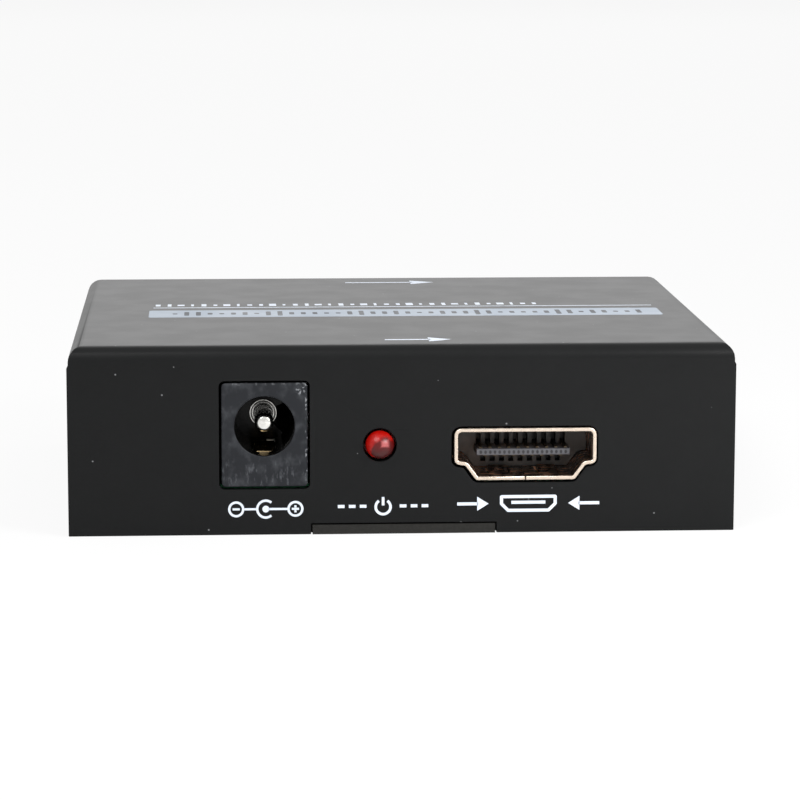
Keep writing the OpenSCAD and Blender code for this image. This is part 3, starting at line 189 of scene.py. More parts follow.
def grown(corners: Sequence[Corner], by: float) -> list[Corner]:
    """Moves a closed outline outwards, with its corners still round.

    Args:
        corners: Each corner's place and radius, counter-clockwise.
        by: How far each side moves out. A negative distance moves it in.

    Returns:
        The moved corners.
    """
    moved = []
    for (_, _, radius), (here, into, out) in zip(corners, sides(corners)):
        new = here - mitre(into, out) * by
        is_convex = into.x * out.y - into.y * out.x > 0
        wider = max(radius + (by if is_convex else -by), 0.02)
        moved.append((new.x, new.y, wider if radius > 0 else 0.0))
    return moved


def quarter(steps: int) -> list[float]:
    """Returns the angles of a quarter turn in radians, after its start."""
    return [math.pi / 2 * i / steps for i in range(1, steps + 1)]


# Meshes


class Workpiece:
    """One mesh in the making, in millimetres."""

    def __init__(self) -> None:
        """Starts an empty mesh."""
        self.bm = bmesh.new()

    def plate(self, outline: Outline, thickness: float, holes: Sequence[Outline] = ()) -> None:
        """Adds a closed flat plate that stands on z = 0.

        Args:
            outline: Its outline.
            thickness: Its thickness.
            holes: Outlines of the holes right through it.
        """
        edges = [self.chain([(x, y, 0) for x, y in loop]) for loop in (outline, *holes)]
        if holes:
            faces = self.fill(sum(edges, []), (0, 0, -1))
        else:
            faces = [self.bm.faces.new([edge.verts[0] for edge in edges[0]])]
        made = bmesh.ops.extrude_face_region(self.bm, geom=faces, use_keep_orig=True)["geom"]
        top = [g for g in made if isinstance(g, Vert)]
        bmesh.ops.translate(self.bm, verts=top, vec=(0, 0, thickness))
        skin = {f for v in top for f in v.link_faces} | set(faces)
        bmesh.ops.recalc_face_normals(self.bm, faces=list(skin))

    def chain(self, points: Sequence[Sequence[float]], closed: bool = True) -> list[Edge]:
        """Adds a chain of edges.

        Args:
            points: The chain's points.
            closed: Whether its last point joins its first.

        Returns:
            Its edges.
        """
        verts = [self.bm.verts.new(p) for p in points]
        ends = verts[1:] + verts[:1] if closed else verts[1:]
        return [self.bm.edges.new(pair) for pair in zip(verts, ends)]

    def fill(self, edges: Sequence[Edge], normal: Sequence[float]) -> list[Face]:
        """Fills an outline, round any holes in it.

        Args:
            edges: Edges of the outline and of the holes.
            normal: The side that the faces look to.

        Returns:
            The new faces.
        """
        ways = {"use_beauty": True, "use_dissolve": False}
        made = bmesh.ops.triangle_fill(self.bm, edges=edges, normal=normal, **ways)["geom"]
        return [g for g in made if isinstance(g, Face)]

    def block(self, low: Sequence[float], high: Sequence[float]) -> None:
        """Adds a block between its lowest and its highest corner."""
        verts = bmesh.ops.create_cube(self.bm, size=1)["verts"]
        size = Vector(high) - Vector(low)
        bmesh.ops.scale(self.bm, vec=size, verts=verts)
        bmesh.ops.translate(self.bm, vec=Vector(low) + size / 2, verts=verts)

    def turned(self, profile: Outline, centre: Sequence[float]) -> None:
        """Turns a piece about a line along Y, in a mesh that holds nothing else yet.

        Args:
            profile: Its outline as radius and place along Y, from the axis back to the axis.
            centre: A point on the axis.
        """
        edges = self.chain([(radius, y, 0) for radius, y in profile], closed=False)
        bmesh.ops.spin(
            self.bm,
            geom=self.bm.verts[:] + edges,
            cent=(0, 0, 0),
            axis=(0, 1, 0),
            dvec=(0, 0, 0),
            angle=2 * math.pi,
            steps=TURN_STEPS,
            use_merge=True,
            use_duplicate=False,
        )
        bmesh.ops.remove_doubles(self.bm, verts=self.bm.verts, dist=MERGE)
        bmesh.ops.recalc_face_normals(self.bm, faces=self.bm.faces)
        self.move(centre)

    def round_edges(
        self, width: float, segments: int = 3, where: EdgeTest = lambda edge: True, angle: float = 35
    ) -> None:
        """Rounds the sharp edges that a test picks.

        Args:
            width: How far the rounding reaches from the edge.
            segments: Steps of the rounding.
            where: The test.
            angle: Least angle between an edge's faces, in degrees.
        """
        least = math.radians(angle)
        folded = [e for e in self.bm.edges if len(e.link_faces) == 2 and e.calc_face_angle() > least]
        bmesh.ops.bevel(
            self.bm,
            geom=[e for e in folded if where(e)],
            offset=width,
            offset_type="OFFSET",
            segments=segments,
            profile=0.5,
            affect="EDGES",
            clamp_overlap=False,
            loop_slide=False,
            material=-1,
        )

    def turn(self, degrees: float, axis: str) -> None:
        """Turns the whole mesh about an axis through the origin."""
        bmesh.ops.rotate(self.bm, verts=self.bm.verts, matrix=Matrix.Rotation(math.radians(degrees), 3, axis))

    def move(self, by: Sequence[float]) -> None:
        """Moves the whole mesh."""
        bmesh.ops.translate(self.bm, verts=self.bm.verts, vec=Vector(by))

    def take(self, node: str) -> None:
        """Takes in a copy of a node's mesh, with its loose triangles joined into whole faces.

        Args:
            node: Name of the node.
        """
        self.bm.from_mesh(frame["nodes"][node].data)
        bmesh.ops.scale(self.bm, vec=(1 / MM, 1 / MM, 1 / MM), verts=self.bm.verts)
        bmesh.ops.remove_doubles(self.bm, verts=self.bm.verts, dist=MERGE)
        bmesh.ops.dissolve_limit(
            self.bm,
            angle_limit=math.radians(1),
            use_dissolve_boundaries=False,
            verts=self.bm.verts,
            edges=self.bm.edges,
        )

    def finish(
        self,
        name: str,
        finish: "Finish",
        body: Body = Body.CASE,
        stands_for: Sequence[str] = (),
        smooth: float = 35,
    ) -> Object:
        """Makes the mesh an object in metres, dresses it and lets it ride on its body.

        Args:
            name: Name of the piece.
            finish: Its finish.
            body: The body that it moves with.
            stands_for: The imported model's nodes that it replaces.
            smooth: Edges above this angle stay sharp, in degrees.

        Returns:
            The finished object.
        """
        bmesh.ops.scale(self.bm, vec=(MM, MM, MM), verts=self.bm.verts)
        mesh = bpy.data.meshes.new(name)
        self.bm.to_mesh(mesh)
        self.bm.free()
        mesh.shade_smooth()
        mesh.set_sharp_from_angle(angle=math.radians(smooth))
        made = bpy.data.objects.new(name, mesh)
        bpy.context.scene.collection.objects.link(made)
        weighted = made.modifiers.new("weighted", "WEIGHTED_NORMAL")
        weighted.keep_sharp = True
        made.data.materials.append(finish.material())
        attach(made, body.value)
        if stands_for:
            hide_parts(*stands_for)
        log.info("%s: %d faces on %s", name, len(mesh.polygons), body.value)
        return made


@dataclass
class VideoSocketPlace:
    """Where a video socket is."""

    wall: Wall
    height: float = 5.54

    def __post_init__(self) -> None:
        """Finds the socket's nodes and its middle."""
        self.stem = "input_socket" if self.wall is Wall.FRONT else "output_socket"
        low, high = low_high(f"{self.stem}_shell")
        self.x = (low.x + high.x) / 2
        self.z = high.z - self.height / 2
        self.mouth = low.y if self.wall is Wall.FRONT else high.y


# Materials. Plain numbers handed to between() after a noise are levels of that noise, from 0 to 1.


class Value:
    """A socket's value, on which Python's operators add Math nodes."""

    def __init__(self, shader: "Shader", socket: bpy.types.NodeSocket) -> None:
        """Wraps a socket.

        Args:
            shader: The shader that the socket is in.
            socket: An output socket.
        """
        self.shader = shader
        self.socket = socket

    def math(self, operation: str, *others: "Value | float") -> "Value":
        """Adds a Math node.

        Args:
            operation: The node's operation.
            others: Its other inputs.

        Returns:
            Its result.
        """
        return self.shader.node("ShaderNodeMath", {"operation": operation}, dict(enumerate((self, *others))))

    def __add__(self, other: "Value | float") -> "Value":
        """Adds."""
        return self.math("ADD", other)

    def __sub__(self, other: "Value | float") -> "Value":
        """Subtracts."""
        return self.math("SUBTRACT", other)

    def __rsub__(self, other: float) -> "Value":
        """Subtracts this value from a number."""
        return self.shader.node("ShaderNodeMath", {"operation": "SUBTRACT"}, {0: other, 1: self})

    def __mul__(self, other: "Value | float") -> "Value":
        """Multiplies."""
        return self.math("MULTIPLY", other)

    def __lt__(self, other: "Value | float") -> "Value":
        """Gives 1 where this value is the smaller one, and 0 elsewhere."""
        return self.math("LESS_THAN", other)

    def __gt__(self, other: "Value | float") -> "Value":
        """Gives 1 where this value is the larger one, and 0 elsewhere."""
        return self.math("GREATER_THAN", other)

    __radd__ = __add__
    __rmul__ = __mul__

    def length(self, other: "Value") -> "Value":
        """Returns the distance that this value and another across it make together."""
        return (self * self + other * other).math("SQRT")

    def between(self, low: float, high: float, start: float = 0.0, end: float = 1.0) -> "Value":
        """Maps a stretch of this value smoothly onto another.

        Args:
            low: Where the stretch starts.
            high: Where it ends.
            start: The result at its start.
            end: The result at its end.

        Returns:
            The mapped value.
        """
        settings = {"interpolation_type": "SMOOTHSTEP", "clamp": True}
        return self.shader.node("ShaderNodeMapRange", settings, {0: self, 1: low, 2: high, 3: start, 4: end})


class Shader:
    """The node tree of a material or of the world."""

    def __init__(self, owner: bpy.types.Material | bpy.types.World) -> None:
        """Empties the owner's node tree.

        Args:
            owner: The material or world.
        """
        owner.use_nodes = True
        self.tree = owner.node_tree
        self.tree.nodes.clear()

    def node(
        self,
        kind: str,
        settings: dict[str, object] | None = None,
        inputs: dict | None = None,
        output: int | str = 0,
    ) -> Value:
        """Adds a node.

        Args:
            kind: Its type.
            settings: Its own settings, which are set first.
            inputs: Values or links of its sockets.
            output: The socket that is handed back.

        Returns:
            That socket's value.
        """
        made = self.tree.nodes.new(kind)
        for key, value in (settings or {}).items():
            setattr(made, key, value)
        for key, value in (inputs or {}).items():
            if isinstance(value, Value):
                self.tree.links.new(value.socket, made.inputs[key])
            else:
                made.inputs[key].default_value = value
        return Value(self, made.outputs[output]) if made.outputs else Value(self, None)

    def place(self) -> Value:
        """Returns the place on the object, in metres."""
        return self.node("ShaderNodeTexCoord", output="Object")

    def axes(self) -> tuple[Value, Value, Value]:
        """Returns the three parts of the place on the object, in millimetres."""
        scaled = self.node("ShaderNodeVectorMath", {"operation": "SCALE"}, {0: self.place(), "Scale": 1 / MM})
        return tuple(self.node("ShaderNodeSeparateXYZ", None, {0: scaled}, i) for i in range(3))

    def noise(self, size: float, detail: float = 3.0, stretch: Sequence[float] = (1, 1, 1)) -> Value:
        """Adds a noise pattern.

        Args:
            size: Size of its larger spots, in millimetres.
            detail: How much finer structure it has.
            stretch: How much longer the spots are along each axis.

        Returns:
            Its value, from 0 to 1.
        """
        scale = [1 / (size * MM * s) for s in stretch]
        place = self.node("ShaderNodeMapping", None, {"Vector": self.place(), "Scale": scale})
        settings = {"noise_dimensions": "3D"}
        return self.node("ShaderNodeTexNoise", settings, {"Vector": place, "Scale": 1.0, "Detail": detail})

    def drift(self, size: float, by: float, low: float = 0.3, high: float = 0.7) -> Value:
        """Adds a noise pattern about zero, which roughens the edge of another pattern.

        Args:
            size: Size of its larger spots, in millimetres.
            by: How far it goes from zero.
            low: The noise that gives the lowest value.
            high: The noise that gives the highest value.

        Returns:
            Its value.
        """
        return self.noise(size).between(low, high, -by, by)

    def specks(self, spacing: float, radius: float, share: float) -> Value:
        """Adds scattered dust.

        Args:
            spacing: Distance between the places where a grain may lie, in millimetres.
            radius: Radius of a grain, in millimetres.
            share: Share of the places that hold one.

        Returns:
            1 on a grain and 0 elsewhere.
        """
        scale = 1 / (spacing * MM)
        cells = {"Vector": self.place(), "Scale": scale}
        near = self.node("ShaderNodeTexVoronoi", None, cells, "Distance")
        pick = self.node("ShaderNodeTexVoronoi", None, cells, "Color")
        chance = self.node("ShaderNodeSeparateColor", None, {0: pick}, 0)
        return near.between(radius / spacing * 0.6, radius / spacing, 1, 0) * (chance < share)

    def mix(self, factor: Value | float, first: Color | Value, second: Color | Value) -> Value:
        """Mixes two colours.

        Args:
            factor: Share of the second colour.
            first: The first colour.
            second: The second colour.

        Returns:
            The mixed colour.
        """
        made = self.tree.nodes.new("ShaderNodeMix")
        made.data_type = "RGBA"
        for key, value in (("Factor", factor), ("A", first), ("B", second)):
            kind = "VALUE" if key == "Factor" else "RGBA"
            socket = next(s for s in made.inputs if s.name == key and s.type == kind)
            if isinstance(value, Value):
                self.tree.links.new(value.socket, socket)
            else:
                socket.default_value = (*value, 1.0) if key != "Factor" else value
        return Value(self, next(s for s in made.outputs if s.type == "RGBA"))

    def bump(self, height: Value, depth: float) -> Value:
        """Turns a height from 0 to 1 into a normal.

        Args:
            height: The height.
            depth: What a height of 1 stands for, in millimetres.

        Returns:
            The normal.
        """
        return self.node("ShaderNodeBump", None, {"Height": height, "Distance": depth * MM, "Strength": 1.0})


@dataclass(frozen=True)
class Finish:
    """A plain surface with a mottled tone and a fine grain.

    An ink has no slot of its own in the record, so it names the one that it lies under.
    """

    slot: str
    color: Color
    roughness: float
    metallic: float = 0.0
    specular: float = 0.5
    tone: float = 0.12
    tone_size: float = 3.0
    rough_change: float = 0.08
    grain: float = 0.004
    grain_size: float = 0.25
    coat: float = 0.0
    coat_roughness: float = 0.08
    under: str = ""

    def shade(self, by: float) -> Color:
        """Returns the colour, darker below 1 and lighter above."""
        return tuple(min(c * by, 1.0) for c in self.color)

    def colored(self, shader: Shader) -> Value:
        """Returns the surface's colour."""
        return shader.mix(shader.noise(self.tone_size), self.shade(1 - self.tone), self.shade(1 + self.tone))

    def roughened(self, shader: Shader) -> Value:
        """Returns the surface's roughness."""
        low, high = self.roughness - self.rough_change, self.roughness + self.rough_change
        return shader.noise(self.tone_size * 1.7, 4).between(0.3, 0.7, low, high)

    def height(self, shader: Shader) -> Value:
        """Returns the height of the grain, from 0 to 1."""
        return shader.noise(self.grain_size, 2)

    @cache
    def material(self) -> bpy.types.Material:
        """Returns the finish's material, which is made once."""
        made = bpy.data.materials.new(f"{self.slot}_finish")
        shader = Shader(made)
        surface = {
            "Base Color": self.colored(shader),
            "Roughness": self.roughened(shader),
            "Metallic": self.metallic,
            "Normal": shader.bump(self.height(shader), self.grain),
            "Specular IOR Level": self.specular,
            "Coat Weight": self.coat,
            "Coat Roughness": self.coat_roughness,
        }
        shaded = shader.node("ShaderNodeBsdfPrincipled", None, surface)
        shader.node("ShaderNodeOutputMaterial", None, {"Surface": shaded})
        return made


@dataclass(frozen=True)
class PowderCoat(Finish):
    """A matt coat on sheet steel, with its fine orange peel and a little dust."""

    peel: float = 0.45
    peel_size: float = 2.6
    rough_change: float = 0.015
    dust: float = 0.12
    dust_spacing: float = 1.2
    dust_radius: float = 0.11
    dust_color: Color = (0.16, 0.165, 0.17)

    def colored(self, shader: Shader) -> Value:
        """Returns the coat's colour, with grains of dust on it."""
        grains = shader.specks(self.dust_spacing, self.dust_radius, self.dust)
        return shader.mix(grains, super().colored(shader), self.dust_color)

    def height(self, shader: Shader) -> Value:
        """Returns the coat's peel with the finer grain on it."""
        peel = shader.noise(self.grain_size * self.peel_size, 2) * self.peel
        return peel + shader.noise(self.grain_size, 1) * (1 - self.peel)


@dataclass(frozen=True)
class ScuffedPlastic(Finish):
    """Moulded plastic with smudges on it and pale scuffs along two edges of its face, and painted shade in
    its bore.
    """

    edges: Point2 = (0.0, 0.0)
    face_y: float = 0.0
    smudge_size: float = 1.3
    streak_size: float = 0.32
    streak_depths: Point2 = (9.0, 7.4)
    chip_size: float = 0.42
    chip_reach: float = 0.3
    corner_reach: float = 0.7
    bore_shine: float = 0.6
    scuff: Color = (0.1, 0.105, 0.115)
    chip: Color = (0.3, 0.31, 0.33)
    # Painted shade: the near-black colour given to the bore in place of the shade inside it.
    inside: Color = (0.002, 0.002, 0.002)

    def colored(self, shader: Shader) -> Value:
        """Returns the plastic's colour, smudged and chipped on its face, with painted shade making its bore
        black.
        """
        x, y, z = shader.axes()
        right, top = self.edges
        smudge = shader.noise(self.smudge_size, 6, (1, 1, 1.3)).between(0.45, 0.8, 0, 0.4)
        below = z.between(top - self.streak_depths[0], top - self.streak_depths[1], 0.5, 0)
        streak = shader.noise(self.streak_size, 3, (1, 1, 3)).between(0.56, 0.72) * below
        plain = shader.mix(smudge.math("MAXIMUM", streak), super().colored(shader), self.scuff)
        near_right = x.between(right - self.chip_reach, right - 0.1)
        near_top = z.between(top - self.chip_reach, top - 0.12) * 0.25
        reach = self.corner_reach
        corner = (x - right + reach).math("ABSOLUTE") + (z - top + reach).math("ABSOLUTE")
        wear_and_painted_shade = near_right + near_top + corner.between(0.3, 0.9, 0.8, 0)
        broken = shader.noise(self.chip_size, 4).between(0.54, 0.62) * wear_and_painted_shade
        chipped = shader.mix(broken.math("MINIMUM", 0.85), plain, self.chip)
        # Painted shade: from just behind the face, the bore takes the near-black colour.
        return shader.mix(y.between(self.face_y + 0.1, self.face_y + 0.3), chipped, self.inside)

    def roughened(self, shader: Shader) -> Value:
        """Returns the roughness, with the bore smoother than the face."""
        _, y, _ = shader.axes()
        inside = y.between(self.face_y + NEAR, self.face_y + 0.2)
        return super().roughened(shader) * (1 - inside * self.bore_shine)


@dataclass(frozen=True)
class LampResin(Finish):
    """Tinted resin with painted light on it: a bright crescent, a pale patch of painted highlight and painted
    shade over its lower half.
    """

    centre: Point2 = (0.0, 0.0)
    crescent_centre: Point2 = (0.5, -0.4)
    crescent_reach: Point2 = (1.1, 1.45)
    patch_centre: Point2 = (0.6, 0.3)
    patch_scale: Point2 = (2.3, 2.8)
    # Colours of the painted shade below, the painted crescent of light and the painted highlight patch.
    low: Color = (0.06, 0.009, 0.009)
    bright: Color = (0.33, 0.0035, 0.0015)
    pale: Color = (0.42, 0.1, 0.1)

    def colored(self, shader: Shader) -> Value:
        """Returns the resin's colour, with its painted shade, crescent of painted light and painted
        highlight.
        """
        x, _, z = shader.axes()
        across, up = x - self.centre[0], z - self.centre[1]
        drift = shader.drift(0.7, 0.15)
        # Painted shade: darker towards the bottom of the dome.
        plain = shader.mix((drift - up).between(-0.1, 0.8), super().colored(shader), self.low)
        # Painted light: a bright crescent towards the upper left.
        reach = (across - self.crescent_centre[0]).length(up - self.crescent_centre[1]) + drift
        crescent = shader.mix(reach.between(*self.crescent_reach), plain, self.bright)
        # Painted highlight: one pale patch right of and above the middle.
        wide = (across - self.patch_centre[0]).math("ABSOLUTE") * self.patch_scale[0]
        tall = (up - self.patch_centre[1]).math("ABSOLUTE") * self.patch_scale[1]
        patch = wide.math("MAXIMUM", tall) + drift
        return shader.mix(patch.between(0.5, 1.3, 0.85, 0), crescent, self.pale)


@dataclass(frozen=True)
class SocketPlate(Finish):
    """Plated sheet, bright on its rim, with painted shade darkening it inside the socket and painted glints
    deeper in.
    """

    reach: float = 28.98
    painted_shade_depths: Point2 = (0.2, 0.55)
    # Painted shade inside the socket, and the copper colour of the glints painted there.
    inside: Color = (0.14, 0.085, 0.06)
    copper: Color = (0.95, 0.55, 0.36)

    def colored(self, shader: Shader) -> Value:
        """Returns the plating's colour, with painted shade and painted glints inside the socket."""
        _, y, _ = shader.axes()
        depth = self.reach - y.math("ABSOLUTE")
        # Painted shade: the colour darkens from the rim inwards, along a ragged edge.
        wear_and_painted_shade = (depth + shader.drift(0.7, 0.25, 0.35, 0.65)).between(*self.painted_shade_depths)
        # Painted glints: copper-coloured patches deeper than about half a millimetre.
        glint = shader.noise(0.9, 3, (1.6, 0.6, 1)).between(0.52, 0.57) * depth.between(0.5, 0.9)
        deep = shader.mix(glint, self.inside, self.copper)
        return shader.mix(wear_and_painted_shade, super().colored(shader), deep)


@dataclass(frozen=True)
class TongueResin(Finish):
    """Moulded resin, with painted light making its tongue paler than the block behind, and dark spots of
    painted shade where its contacts end at the tongue's front.
    """

    # Colours of the painted light on the tongue and of the painted shade at the contact ends.
    tongue: Color = (0.115, 0.119, 0.133)
    slot_dark: Color = (0.012, 0.012, 0.014)
    pitch: float = 0.5
    count: int = 19
    reach: float = 26.5
    root: Point2 = (2.6, 0.9)
    drop: float = 0.2
    spot: Point2 = (0.1, 0.18)

    def colored(self, shader: Shader) -> Value:
        """Returns the resin's colour, with painted light on the tongue and painted shade at the contact ends.
        """
        x, y, z = shader.axes()
        away = y.math("ABSOLUTE")
        # Painted light: the tongue turns paler towards its front, and the block behind stays darker.
        free = away.between(self.reach - self.root[0], self.reach - self.root[1])
        plain = shader.mix(free, super().colored(shader), self.tongue)
        front, rear = (VideoSocketPlace(wall) for wall in Wall)
        aside = x - (front.x + (y > 0) * (rear.x - front.x))
        across = (aside + self.pitch / 2).math("FLOORED_MODULO", self.pitch) - self.pitch / 2
        up = z - (front.z - self.drop)
        spot = (across * across + up * up * 0.5).math("SQRT").between(*self.spot, 0.92, 0)
        is_contact = (aside.math("ABSOLUTE") < self.pitch * self.count / 2) * (away > self.reach - 0.05)
        # Painted shade: a dark spot at each contact's end on the tongue's front.
        return shader.mix(spot * is_contact, plain, self.slot_dark)


@dataclass(frozen=True)
class TurnedMetal(Finish):
    """Plated metal with the faint rings that a lathe leaves."""

    pitch: float = 0.12

    def height(self, shader: Shader) -> Value:
        """Returns fine waves along the axis of turning, broken up by noise."""
        _, y, _ = shader.axes()
        waves = (y * (2 * math.pi / self.pitch)).math("SINE") * 0.25 + 0.5
        return waves + shader.noise(self.grain_size, 2) * 0.5


@dataclass(frozen=True)
class PinPlate(TurnedMetal):
    """Plated metal of the power pin, with painted shade darkening it down its length and painted dark
    reflections in the rings of its collar.
    """

    centre: Point2 = (0.0, 0.0)
    tip: float = 0.0
    unshaded_tip: Point2 = (0.35, 0.75)
    shank: float = 1.09
    groove: Point2 = (1.19, 1.31)
    collar_depth: float = 2.0
    # Painted shade: the near-black colour of the pin behind its tip and in its collar's rings.
    painted_shade_color: Color = (0.03, 0.03, 0.03)

    def colored(self, shader: Shader) -> Value:
        """Returns the plating's colour, with its painted shade and painted dark reflections."""
        x, y, z = shader.axes()
        radius = (x - self.centre[0]).length(z - self.centre[1])
        depth = y - self.tip
        # Painted shade: the shank darkens from just behind the tip.
        shank = (depth + shader.drift(0.4, 0.12)).between(*self.unshaded_tip) * (radius < self.shank)
        # Painted dark reflections: the collar's rings darken deeper than the collar depth.
        near, far = self.groove
        groove = radius.between(near - 0.05, near) * radius.between(far, far + 0.04, 1, 0)
        painted_shade_mask = shank.math("MAXIMUM", groove * (depth > self.collar_depth)) * 0.93
        return shader.mix(painted_shade_mask, super().colored(shader), self.painted_shade_color)


@dataclass(frozen=True)
class Laminate(Finish):
    """Solder mask over copper tracks."""

    track: Color = (0.05, 0.3, 0.15)
    track_height: float = 0.7

    def tracks(self, shader: Shader) -> Value:
        """Returns 1 on the tracks and 0 between them."""
        place = shader.node("ShaderNodeMapping", None, {"Vector": shader.place(), "Scale": [1 / MM] * 3})
        settings = {"offset": 0.5, "squash": 1.0}
        sizes = {"Scale": 0.42, "Mortar Size": 0.035, "Mortar Smooth": 0.1, "Brick Width": 2.4}
        return shader.node("ShaderNodeTexBrick", settings, {"Vector": place, **sizes}, "Fac")

    def colored(self, shader: Shader) -> Value:
        """Returns the mask's colour, lighter over the tracks."""
        return shader.mix(self.tracks(shader), super().colored(shader), self.track)

    def height(self, shader: Shader) -> Value:
        """Returns the height, with the tracks standing out."""
        grain = shader.noise(self.grain_size, 2) * (1 - self.track_height)
        return self.tracks(shader) * self.track_height + grain


class Finishes:
    """Every finish of the object, by the record's slot."""

    def __init__(self) -> None:
        """Makes the finishes, with the places that some of them need."""
        jack_low, jack_high = low_high("dc_jack_housing")
        lamp, pin = middle("power_led_lens"), middle("dc_jack_center_pin")
        jack = {"edges": (jack_high.x, jack_high.z), "face_y": jack_low.y}
        post = {"centre": (pin.x, pin.z), "tip": low_high("dc_jack_center_pin")[0].y, "tone_size": 0.5}
        ink = {"roughness": 0.5, "grain": 0.002, "under": "case_coat"}
        pale = {**ink, "specular": 0.2, "tone": 0.05}
        metal = {"metallic": 1.0, "grain": 0.001}
        every = [
            PowderCoat(
                "case_coat", (0.0058, 0.0061, 0.0063), 0.33, specular=0.13, grain=0.006, grain_size=0.2
            ),
            PowderCoat(
                "base_coat", (0.02, 0.0195, 0.018), 0.5, specular=0.1, tone=0.35, tone_size=0.35, grain=0.02
            ),
            Finish("ink_white", (0.64, 0.69, 0.77), **pale),
            Finish("ink_blue", (0.35, 0.395, 0.455), **pale),
            Finish("ink_dark", (0.05, 0.055, 0.065), tone=0.1, **ink),
            TurnedMetal("screw_steel", (0.12, 0.12, 0.125), 0.38, **metal),
            TurnedMetal("standoff_brass", (0.72, 0.5, 0.2), 0.3, **metal),
            TurnedMetal("screw_zinc", (0.7, 0.7, 0.68), 0.3, **metal),
            Laminate("board_green", (0.012, 0.16, 0.06), 0.35, grain=0.03),
            ScuffedPlastic(
                "jack_plastic", (0.0155, 0.0167, 0.0195), 0.45, specular=0.12, rough_change=0.1, **jack
            ),
            PinPlate("pin_plate", (0.7, 0.69, 0.66), 0.2, 1.0, tone=0.35, grain=0.002, **post),
            Finish("leaf_bronze", (0.55, 0.41, 0.23), 0.22, **metal),
            Finish("tinned_metal", (0.74, 0.74, 0.72), 0.32, 1.0, grain=0.002),
            LampResin(
                "lamp_red", (0.085, 0.0025, 0.0025), 0.3, specular=0.3, grain=0.001, centre=(lamp.x, lamp.z)
            ),
            SocketPlate("socket_plate", (0.66, 0.56, 0.465), 0.28, 1.0, tone_size=0.8),
            TongueResin("socket_plastic", (0.07, 0.07, 0.067), 0.5, specular=0.4, tone=0.2, tone_size=0.8),
            # Painted shade: the contacts' gold is darkened almost to black, for the shade they sit in.
            Finish("contact_gold", (0.09, 0.07, 0.045), 0.4, **metal),
            Finish("optical_plastic", (0.02, 0.02, 0.022), 0.3, tone=0.15),
            Finish("shutter_plastic", (0.05, 0.05, 0.055), 0.4, tone=0.15),
            Finish("spring_steel", (0.6, 0.6, 0.6), 0.25, **metal),
            Finish("emitter_resin", (0.05, 0.012, 0.016), 0.15, coat=0.5),
            TurnedMetal("barrel_plate", (0.8, 0.78, 0.74), 0.2, tone=0.05, **metal),
            Finish("insulator_white", (0.8, 0.8, 0.77), 0.35, tone=0.04),
            Finish("insulator_red", (0.55, 0.02, 0.02), 0.35, tone=0.08),
            Finish("chip_resin", (0.03, 0.03, 0.033), 0.5, tone=0.15, tone_size=0.8, grain=0.008),
            Finish("can_aluminium", (0.76, 0.77, 0.78), 0.28, 1.0, grain=0.002),
            Finish("ferrite_grey", (0.11, 0.11, 0.115), 0.6, tone=0.2, grain=0.01),
            Finish("winding_copper", (0.66, 0.3, 0.14), 0.3, 1.0, grain=0.01),
            Finish("ceramic_tan", (0.42, 0.29, 0.17), 0.5, tone=0.15, tone_size=1.0),
        ]
        self.by_slot = {finish.slot: finish for finish in every}
        self.slots = {part["node"]: part["material_slot"] for part in frame["record"]["subparts"]}

    def __getitem__(self, slot: str) -> Finish:
        """Returns the finish of a slot."""
        return self.by_slot[slot]

    def dress_nodes(self) -> None:
        """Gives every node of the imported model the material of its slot."""
        for name, slot in self.slots.items():
            node = frame["nodes"][name]
            node.data.materials.clear()
            node.data.materials.append(self[slot].material())


# Sub-assemblies


@dataclass
class Assembly:
    """A sub-assembly of the object."""

    finishes: Finishes

    def put(
        self,
        piece: Workpiece,
        node: str,
        name: str,
        body: Body = Body.CASE,
        slot: str = "",
        smooth: float = 35,
    ) -> Object:
        """Finishes a piece in a node's place.

        Args:
            piece: The piece's mesh.
            node: The node that it replaces.
            name: Name of the piece.
            body: The body that it moves with.
            slot: Slot of its finish, where that isn't the node's own.
            smooth: Edges above this angle stay sharp, in degrees.

        Returns:
            The finished piece.
        """
        finish = self.finishes[slot or self.finishes.slots[node]]
        return piece.finish(name, finish, body, [node], smooth)

    def work(
        self,
        node: str,
        name: str,
        width: float,
        where: EdgeTest = lambda edge: True,
        segments: int = 2,
        body: Body = Body.CASE,
        slot: str = "",
    ) -> Object:
        """Makes a piece from a copy of a node's mesh, with its edges rounded.

        Args:
            node: The node that it replaces.
            name: Name of the piece.
            width: How far the rounding reaches.
            where: A test of the edges to round.
            segments: Steps of the rounding.
            body: The body that it moves with.
            slot: Slot of its finish, where that isn't the node's own.

        Returns:
            The finished piece.
        """
        piece = Workpiece()
        piece.take(node)
        piece.round_edges(width, segments, where)
        return self.put(piece, node, name, body, slot)

    def build(self) -> None:
        """Builds the sub-assembly's pieces."""
        raise NotImplementedError


